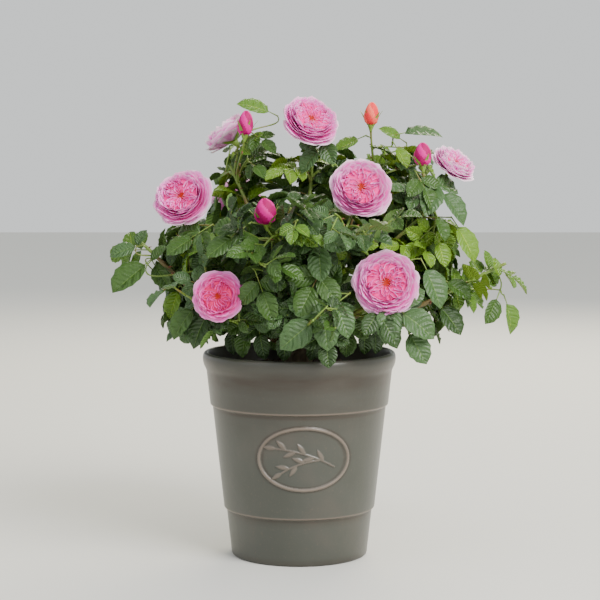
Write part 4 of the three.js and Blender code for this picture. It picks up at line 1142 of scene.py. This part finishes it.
def leaf_material(name, colour, veined):
    """A leaf skin of one base colour: waxy, quilted between the side veins by a triangle wave
    of along - lean * |across|, and crazed by a 2.6 mm net of veins. Both are relief alone."""
    skin, tree, shader, place = start_material(
        name, Roughness=0.4 if veined else 0.6, Base_Color=linear(colour),
        Specular_IOR_Level=0.52 if veined else 0.3)
    across = put(tree, "Attribute", attribute_name="blade_across").outputs["Fac"]
    along = put(tree, "Attribute", attribute_name="blade_along").outputs["Fac"]
    off = put(tree, "Math", {0: across}, operation="ABSOLUTE").outputs[0]
    back = put(tree, "Math", {0: off, 1: -VEIN_LEAN * SIDE_VEINS}, operation="MULTIPLY")
    row = put(tree, "Math", {0: along, 1: SIDE_VEINS, 2: back.outputs[0]},
              operation="MULTIPLY_ADD")
    pillow = put(tree, "Math", {0: row.outputs[0], 1: 0.5}, operation="PINGPONG")
    net = put(tree, "TexVoronoi", {"Vector": place, "Scale": 380.0},
              feature="DISTANCE_TO_EDGE")
    relief = put(tree, "Math", {0: net.outputs[0], 1: 0.35, 2: pillow.outputs[0]},
                 operation="MULTIPLY_ADD")
    mottle = put(tree, "TexNoise", {"Vector": place, "Scale": 160.0, "Detail": 3.0})
    dull = put(tree, "MapRange", {0: mottle.outputs[0], 3: 0.3, 4: 0.58 if veined else 0.75})
    bump = put(tree, "Bump", {"Height": relief.outputs[0], "Strength": 1.0, "Distance": 0.0012})
    tree.links.new(dull.outputs[0], shader.inputs["Roughness"])
    tree.links.new(bump.outputs[0], shader.inputs["Normal"])
    return skin


# Rose leaves: a waxy skin that throws a grey sheen from the sky, in five greens by age, the young
# yellow greens also painted as light shining through the leaves, with lighter ribs, and undersides
# that are paler and dull.
LEAF_SKINS = [
    leaf_material("leaf_deep_green", "#26430f", True),
    leaf_material("leaf_middle_green", "#365713", True),
    leaf_material("leaf_greyish_green", "#3f5f2e", True),
    leaf_material("leaf_bright_green", "#527818", True),
    leaf_material("leaf_young_backlit_green", "#618614", True),
    leaf_material("leaf_rib", "#5c7a38", True),
    leaf_material("leaf_young_backlit_rib", "#9ab040", True),
    leaf_material("leaf_underside", "#5a7a3a", False),
    leaf_material("leaf_young_backlit_underside", "#7c9c2c", False),
]
RIB_SKIN = 5
UNDER_SKIN = 7


def skin_of(tone, kind):
    """The number of the skin for a spray's tone and a face's kind."""
    young_and_backlit = tone >= LEAFY
    return np.where(kind == 0, tone, np.where(kind == 1, RIB_SKIN + young_and_backlit, UNDER_SKIN + young_and_backlit))


def build_leaves(name, members):
    """One piece with the leaflets of several masses, and one with their stalks."""
    chance = np.random.default_rng(len(name))
    feet, runs, ups, sizes, tones, stalks = [], [], [], [], [], []
    for leaf in (leaf for member in members for leaf in MASSES[member]["leaves"]):
        _, along, upper, number, scale, tone, limp = leaf
        across = np.cross(upper, along)
        places = np.linspace(-1, STALKS[number] + 2, STALK_RINGS)
        line = on_leaf(leaf, places, np.zeros(STALK_RINGS))
        stalks.append(closed_rings(tube_rings(line, np.linspace(*STALK, STALK_RINGS), STALK_SIDES)))
        for at, angle, size in LEAF_PATTERNS[number][1]:
            foot, ahead = on_leaf(leaf, [at, at + 1], [0, 0])
            run = unit(ahead - foot)
            run = run * math.cos(angle) + across * math.sin(angle)
            run = unit(run - limp * np.array([0, 0, LEAF_SAG]))
            up = upper + (0.1 + 0.22 * limp) * chance.normal(size=3)
            feet.append(foot + run)
            runs.append(run)
            ups.append(unit(up - run * (up @ run)))
            sizes.append(np.array(LEAFLET) * size * scale * (0.95 + 0.1 * chance.random(2)))
            tones.append(tone)
    feet, runs, ups, sizes = (np.array(rows) for rows in (feet, runs, ups, sizes))
    count = len(feet)
    folds = FOLD[0] + FOLD[1] * chance.random((count, 1))
    curls = CURL[0] + CURL[1] * chance.random((count, 1))
    points = leaflet_blades(feet, runs, ups, sizes, folds, curls)
    step = len(LEAFLET_POINTS) * np.arange(count)[:, None, None]
    faces = np.where(LEAFLET_FACES < 0, -1, LEAFLET_FACES + step).reshape(-1, 4)
    skins = skin_of(np.array(tones)[:, None], LEAFLET_KINDS).ravel()
    leaves = make_piece(f"leaves_{name}", points.reshape(-1, 3), faces, LEAF_SKINS, skins,
                        np.tile(LEAFLET_RIM, count),
                        {"blade_across": np.tile(LEAFLET_POINTS[:, 0], count),
                         "blade_along": np.tile(LEAFLET_POINTS[:, 1], count)})
    points, faces = joined(stalks)
    stalk_piece = make_piece(f"leaf_stalks_{name}", points, faces, [green_skin])
    for piece in (leaves, stalk_piece):
        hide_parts(*(f"foliage_{member}" for member in members))


build_leaves("upper", ["top", "upper_left", "upper_right", "right_high", "left_high"])
build_leaves("front", ["front_left", "front_right", "low_left", "low_front", "low_right"])
build_leaves("sides", ["left_arm", "right_arm", "left_low", "right_low", "core"])
build_leaves("back", ["back_left", "back_right", "back_low"])


# Blooms: a hundred and twelve petals a flower. Broad guard petals lie outermost, rings of cupped
# petals stand inside them, and the middle is packed with petals folded double that point to its
# heart.
PETAL_THICKNESS = 0.35
PETAL_COLUMNS = 7
PETAL_ROWS = np.array([0, 0.3, 0.55, 0.78, 0.93, 1])  # places along a petal, closest at its rim
PETAL_TONES = [
    "#a82008", "#e02874", "#f43498", "#ff48b4", "#ff56c2", "#ff6cd0", "#ff8ee0", "#ffb8ea",
    "#ffe4f4"]
CUP_RINGS = [  # petals, reach, rise, half width, droop, first and last tone; in bloom radii
    (7, 1.00, -0.08, 0.47, 0.10, 6, 8),
    (8, 0.95, 0.01, 0.43, 0.08, 5, 7),
    (9, 0.90, 0.08, 0.39, 0.05, 5, 7),
    (10, 0.84, 0.13, 0.34, 0.03, 4, 6),
    (10, 0.78, 0.17, 0.31, 0.01, 4, 7),
    (11, 0.72, 0.20, 0.27, 0.0, 3, 6),
    (11, 0.66, 0.22, 0.24, -0.01, 3, 7),
    (11, 0.61, 0.22, 0.21, -0.02, 3, 6),
]
FOLDED_RINGS = [  # petals, inner and outer distance, height at each, half gap
    (15, 0.22, 0.58, 0.10, 0.21, 0.042),
    (12, 0.13, 0.46, 0.07, 0.18, 0.044),
    (8, 0.07, 0.30, 0.04, 0.14, 0.038),
]
HEART_RINGS = 15
HEART_SIDES = 32
PIT_TONES = (1, 0)  # of the last two bands of the heart, which line its pit


def petal_template():
    """A petal's grid as (across, along, below), its faces with their rows, and its rim.

    Both sides share the grid's outline, and the under side has its own points inside it.
    """
    v, u = np.meshgrid(PETAL_ROWS, np.linspace(-1, 1, PETAL_COLUMNS), indexing="ij")
    top = np.arange(u.size).reshape(u.shape)
    inner = np.zeros(u.shape, bool)
    inner[1:-1, 1:-1] = True
    under = top.copy()
    under[inner] = u.size + np.arange(inner.sum())
    points = np.stack([u.ravel(), v.ravel(), 0 * u.ravel()], -1)
    points = np.vstack([points, np.stack([u[inner], v[inner], 1 + 0 * u[inner]], -1)])

    def sheet(number):
        """Faces between neighbours in a grid of point numbers."""
        return np.stack([number[:-1, :-1], number[:-1, 1:], number[1:, 1:], number[1:, :-1]],
                        -1).reshape(-1, 4)

    faces = np.concatenate([sheet(top), sheet(under)[:, ::-1]])
    rows = np.tile(np.repeat(PETAL_ROWS[1:], PETAL_COLUMNS - 1), 2)
    rim = np.concatenate([~inner.ravel(), np.zeros(inner.sum(), bool)])
    return points, faces, rows, rim


PETAL_POINTS, PETAL_FACES, PETAL_FACE_ROWS, PETAL_RIM = petal_template()


def thin_sheet(place, thickness):
    """Both sides of a sheet given as a function of (across, along): points below the sheet are
    moved back along its normal, the cross product of its two slopes."""
    u, v, below = PETAL_POINTS.T
    step = 0.01
    here = place(u, v)
    normal = unit(np.cross(place(u + step, v) - here, place(u, v + step) - here))
    return here - normal * (below * thickness)[:, None]


def cup_petals(ring, radius, chance):
    """Petals of one ring as a function of (across, along).

    From the calyx a petal goes out and up as 1 - (1 - v)^1.5 and v^1.4, widens as a sine, is
    cut round at its end, nods by its droop, and ruffles as a slow wave.
    """
    count, reach, rise, wide, droop, *_ = ring
    turn = (np.arange(count) + 0.6 * chance.random(count)) * 2 * math.pi / count
    turn = (turn + chance.random() * 2 * math.pi)[:, None]
    far = reach * (0.96 + 0.06 * chance.random((count, 1)))
    high = rise + 0.04 * chance.normal(size=(count, 1))
    phase = chance.random((count, 1)) * 2 * math.pi
    ruffle = 0.018 * (1 + chance.random((count, 1)))

    def place(u, v):
        v = v * (1 - 0.2 * u ** 2) - 0.035 * v * np.exp(-(u / 0.2) ** 2)
        out = 0.06 + (far - 0.06) * (1 - (1 - v) ** 1.5)
        up = -0.42 + (high + 0.42) * v ** 1.4 - droop * v ** 6
        wave = np.sin(4.2 * u + phase) * v ** 2
        out = out + ruffle * wave
        up = up + ruffle * 1.5 * wave
        spread = wide * (0.4 + 0.6 * np.sin(np.minimum(v / 0.75, 1) * math.pi / 2))
        angle = turn + u * spread / np.maximum(out, 0.22)
        return radius * np.stack([out * np.cos(angle), out * np.sin(angle), up], -1)

    return thin_sheet(place, PETAL_THICKNESS)


def folded_petals(ring, radius, chance):
    """Petals folded double and standing upright, as a function of (across, along).

    Seen from above each is a narrow loop that points to the heart: across runs from the heart
    out to the fold at 0 and back, as |u|^1.3, the loop is as wide as the root of a sine, and
    along runs up from the base.
    """
    count, near, far, low, high, gap = ring
    turn = (np.arange(count) + 0.25 * chance.normal(size=count)) * 2 * math.pi / count
    turn = (turn + chance.random() * 2 * math.pi)[:, None]
    far = far * (0.88 + 0.14 * chance.random((count, 1)))
    gap = gap * (0.7 + 0.6 * chance.random((count, 1)))
    phase = chance.random((count, 1)) * 2 * math.pi
    bend = 0.34 * chance.normal(size=(count, 1))

    def place(u, v):
        back = np.abs(u)
        out = far - (far - near) * back ** 1.3
        aside = np.sign(u) * gap * np.sqrt(np.clip(np.sin(math.pi * back * 0.92), 0, 1))
        share = (out - near) / (far - near)
        top = low + (high - low) * share ** 0.8 + 0.015 * np.sin(5 * u + phase)
        up = -0.2 + (top + 0.2) * v
        out = out + 0.05 * v ** 2 * share
        aside = aside * (1 + 0.5 * v)
        angle = turn + bend * share ** 2 + aside / np.maximum(out, 0.08)
        return radius * np.stack([out * np.cos(angle), out * np.sin(angle), up], -1)

    return thin_sheet(place, PETAL_THICKNESS)


def turned_to(points, facing, middle):
    """Points turned so that +Z looks along facing, the shortest way round, and moved."""
    turn = Vector((0, 0, 1)).rotation_difference(Vector(facing)).to_matrix()
    return points @ np.array(turn).T + middle


def petal_material(name, colour):
    """Petal skin of one base colour: velvety, with light that spreads a little inside it, and a
    grain of 1 mm, coarser than the real velvet so that it shows."""
    skin, tree, shader, place = start_material(
        name, Roughness=0.6, Base_Color=linear(colour), Specular_IOR_Level=0.2,
        Subsurface_Weight=0.35, Subsurface_Scale=0.006, Subsurface_Radius=(1.0, 0.6, 0.8))
    grain = put(tree, "TexNoise", {"Vector": place, "Scale": 900.0, "Detail": 2.0})
    bump = put(tree, "Bump", {"Height": grain.outputs[0], "Strength": 0.25, "Distance": 0.0003})
    tree.links.new(bump.outputs[0], shader.inputs["Normal"])
    return skin


# Rose petals: a velvety skin, orange-red in the pit of the heart, hot pink round it, and paler
# ring by ring to a rim that is nearly white. Each tone is a base colour of its own, dealt out by
# ring and by row.
PETAL_SKINS = [petal_material(f"petal_tone_{i}", colour) for i, colour in enumerate(PETAL_TONES)]


def bloom_petals(radius, paler, redder, chance):
    """All petals of one flower about its own middle: points (petals, template, 3) and tones."""
    points, tones = [], []
    row = PETAL_FACE_ROWS
    for ring in CUP_RINGS:
        made = cup_petals(ring, radius, chance)
        first, last = ring[5:]
        tone = first + (last - first) * row ** 6 + paler - redder * (0.4 + (ring[1] < 0.75))
        points.append(made)
        tones.append(np.tile(tone, (len(made), 1)))
    for ring in FOLDED_RINGS:
        made = folded_petals(ring, radius, chance)
        tone = 2.0 + 3.3 * row ** 3 + paler - 0.8 * redder
        points.append(made)
        tones.append(np.tile(tone, (len(made), 1)) + chance.integers(-1, 2, (len(made), 1)))
    tones = np.clip(np.round(np.concatenate(tones)), 0, len(PETAL_TONES) - 1)
    return np.concatenate(points), tones


def heart_of(radius):
    """The solid heart under the petals: a turned cup whose dished head closes the gaps between
    the folded petals."""
    t = np.linspace(0, 1, HEART_RINGS)
    out = radius * np.interp(t, [0, 0.3, 0.5, 0.6, 0.8, 1], [0.05, 0.3, 0.52, 0.56, 0.3, 0.03])
    up = radius * np.interp(t, [0, 0.3, 0.5, 0.6, 0.8, 1], [-0.46, -0.3, -0.02, 0.1, 0.07, -0.02])
    angle = np.arange(HEART_SIDES) * 2 * math.pi / HEART_SIDES
    return np.stack([out[:, None] * np.cos(angle), out[:, None] * np.sin(angle),
                     up[:, None] + 0 * angle], -1)


def heart_tones(count, redder):
    """Tones of the heart's faces: red in the pit, which the head's last bands line."""
    tones = np.full(count, 2.0 - redder)
    bands = tones[:(HEART_RINGS - 1) * HEART_SIDES].reshape(-1, HEART_SIDES)
    bands[-2:] = np.reshape(PIT_TONES, (2, 1))
    tones[-HEART_SIDES:] = PIT_TONES[1]
    return tones


def build_blooms(name, numbers):
    """One piece with the petals of several blooms."""
    points, faces, tones, rims = [], [], [], []
    start = 0
    for number in numbers:
        _, middle, _, radius, paler, redder = BLOOMS[number]
        facing = bloom_faces[number]
        chance = np.random.default_rng(50 + number)
        petals, petal_tones = bloom_petals(radius, paler, redder, chance)
        count = len(petals)
        step = start + len(PETAL_POINTS) * np.arange(count)[:, None, None]
        spots = turned_to(petals.reshape(-1, 3), facing, middle)
        heart, heart_faces = closed_rings(heart_of(radius))
        heart = turned_to(heart, facing, middle)
        points += [spots, heart]
        faces += [(PETAL_FACES + step).reshape(-1, 4),
                  np.where(heart_faces < 0, -1, heart_faces + start + len(spots))]
        tones += [petal_tones.ravel(), heart_tones(len(heart_faces), redder)]
        rims += [np.tile(PETAL_RIM, count), np.zeros(len(heart), bool)]
        start += len(spots) + len(heart)
    piece = make_piece(name, np.concatenate(points), np.concatenate(faces), PETAL_SKINS,
                       np.concatenate(tones), np.concatenate(rims))
    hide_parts(*sorted({f"foliage_{BLOOMS[number][0]}" for number in numbers}))


build_blooms("blossom_front", range(5))
build_blooms("blossom_behind", range(5, 10))


# Calyx and buds: under each bloom and bud a green hip with five sepals. A bud is a pointed egg
# of petals wrapped over one another, and its sepals stand off it.
SEPALS = 5
SEPAL_THICKNESS = 0.4
HIP_SIDES = 12
BUD_RINGS = 16
BUD_SIDES = 36
BUD_WRAPS = 3
WRAP_EDGE = 0.55  # how far round a wrapped petal its lighter edge starts


def sepals(length, width, lean, flare, radius, chance):
    """Sepals round the axis: narrow blades, widest near the foot, that go up beside the bud by
    cos(lean) and out by sin(lean), and flare away towards their tips."""
    turn = (np.arange(SEPALS) + 0.3 * chance.random(SEPALS))[:, None] * 2 * math.pi / SEPALS
    tilt = lean + 0.2 * chance.normal(size=(SEPALS, 1))

    def place(u, v):
        half = width / 2 * (np.sin(math.pi * (0.12 + 0.88 * v) ** 0.7) + 0.04)
        out = radius + length * v * np.sin(tilt) + flare * length * v ** 2.5
        up = length * v * np.cos(tilt) - 0.12 * half * (1 - u ** 2)
        aside = u * half
        return np.stack([out * np.cos(turn) - aside * np.sin(turn),
                         out * np.sin(turn) + aside * np.cos(turn), up + 0 * out], -1)

    return thin_sheet(place, SEPAL_THICKNESS).reshape(-1, 3)


def hip(low, high, places, radii):
    """A green hip up the axis from low to high, turned to these radii at these places."""
    t = np.linspace(0, 1, 7)
    axis = np.stack([0 * t, 0 * t, low + (high - low) * t], -1)
    return closed_rings(tube_rings(axis, np.interp(t, places, radii), HIP_SIDES))


def bud_rings(length, radius):
    """A bud's rings, a pointed egg whose radius jumps at three edges that wind round it, and how
    far round its petal each point lies."""
    t = np.linspace(0, 1, BUD_RINGS)[:, None]
    angle = np.arange(BUD_SIDES) * 2 * math.pi / BUD_SIDES
    egg = np.interp(t, [0, 0.12, 0.3, 0.5, 0.75, 0.92, 1], [0.38, 0.84, 1, 1, 0.8, 0.5, 0.2])
    wrap = (BUD_WRAPS * angle / (2 * math.pi) + 1.1 * t) % 1
    out = radius * egg * (0.92 + 0.13 * wrap)
    up = length * t + 0.05 * length * wrap * t ** 2
    return np.stack([out * np.cos(angle), out * np.sin(angle), up], -1), wrap


# Bud petals are young and tightly wrapped, so they show their full colour, and one bud is coral.
bud_pink = petal_material("bud_deep_pink", "#a80060")
bud_rose = petal_material("bud_rose_pink", "#d4108c")
bud_coral = petal_material("bud_coral", "#ee3c40")
bud_amber = petal_material("bud_amber", "#f86a58")
# Hips and sepals have a soft, slightly downy green skin.
sepal_skin = leaf_material("sepal_green", "#7a9a3a", True)

bud_parts, bud_tones, green_parts, blades = [], [], [], []
chance = np.random.default_rng(77)
for middle, facing, radius in zip(bloom_middles, bloom_faces, bloom_radii):
    foot = middle - facing * CALYX_DEPTH * radius
    points, faces = hip(-9, 2, [0, 0.35, 0.7, 1], [1.3, 2.6, 4.2, 4.6])
    green_parts.append((turned_to(points, facing, foot), faces))
    blades.append(turned_to(sepals(21, 7, 1.25, -0.02, 3, chance), facing, foot))
for _, foot, tip, radius, colour in BUDS:
    foot, tip = np.array(foot, float), np.array(tip, float)
    facing, length = unit(tip - foot), np.linalg.norm(tip - foot)
    rings, wrap = bud_rings(length, radius)
    points, faces = closed_rings(rings)
    bud_parts.append((turned_to(points, facing, foot), faces))
    light = (wrap[:-1] > WRAP_EDGE).ravel()
    ends = np.zeros(2 * BUD_SIDES)
    bud_tones.append(np.concatenate([light, ends]) + (2 if colour == "coral" else 0))
    points, faces = hip(-8, 2, [0, 0.4, 0.75, 1], [1.2, 2.4, 4.0, 3.6])
    green_parts.append((turned_to(points, facing, foot), faces))
    sheath = sepals(length * 0.72, 4.5, 0.55, 0.16, radius * 0.5, chance)
    blades.append(turned_to(sheath, facing, foot))
points, faces = joined(bud_parts)
bud_nodes = sorted({f"foliage_{name}" for name, *_ in BUDS})
buds = make_piece("bud_petals", points, faces, [bud_pink, bud_rose, bud_coral, bud_amber],
                  np.concatenate(bud_tones))
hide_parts(*bud_nodes)
hips, hip_faces = joined(green_parts)
step = len(PETAL_POINTS) * np.arange(SEPALS)[:, None, None]
blade_faces = (PETAL_FACES + step).reshape(-1, 4)
all_blades, all_faces = joined([(spots, blade_faces) for spots in blades])
points, faces = joined([(hips, hip_faces), (all_blades, all_faces)])
rim = np.concatenate([np.zeros(len(hips), bool), np.tile(PETAL_RIM, SEPALS * len(blades))])
calyx = make_piece("hips_and_sepals", points, faces, [sepal_skin], rim=rim)
flower_nodes = sorted({f"foliage_{name}" for name, *_ in [*BLOOMS, *BUDS]})
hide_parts(*flower_nodes)
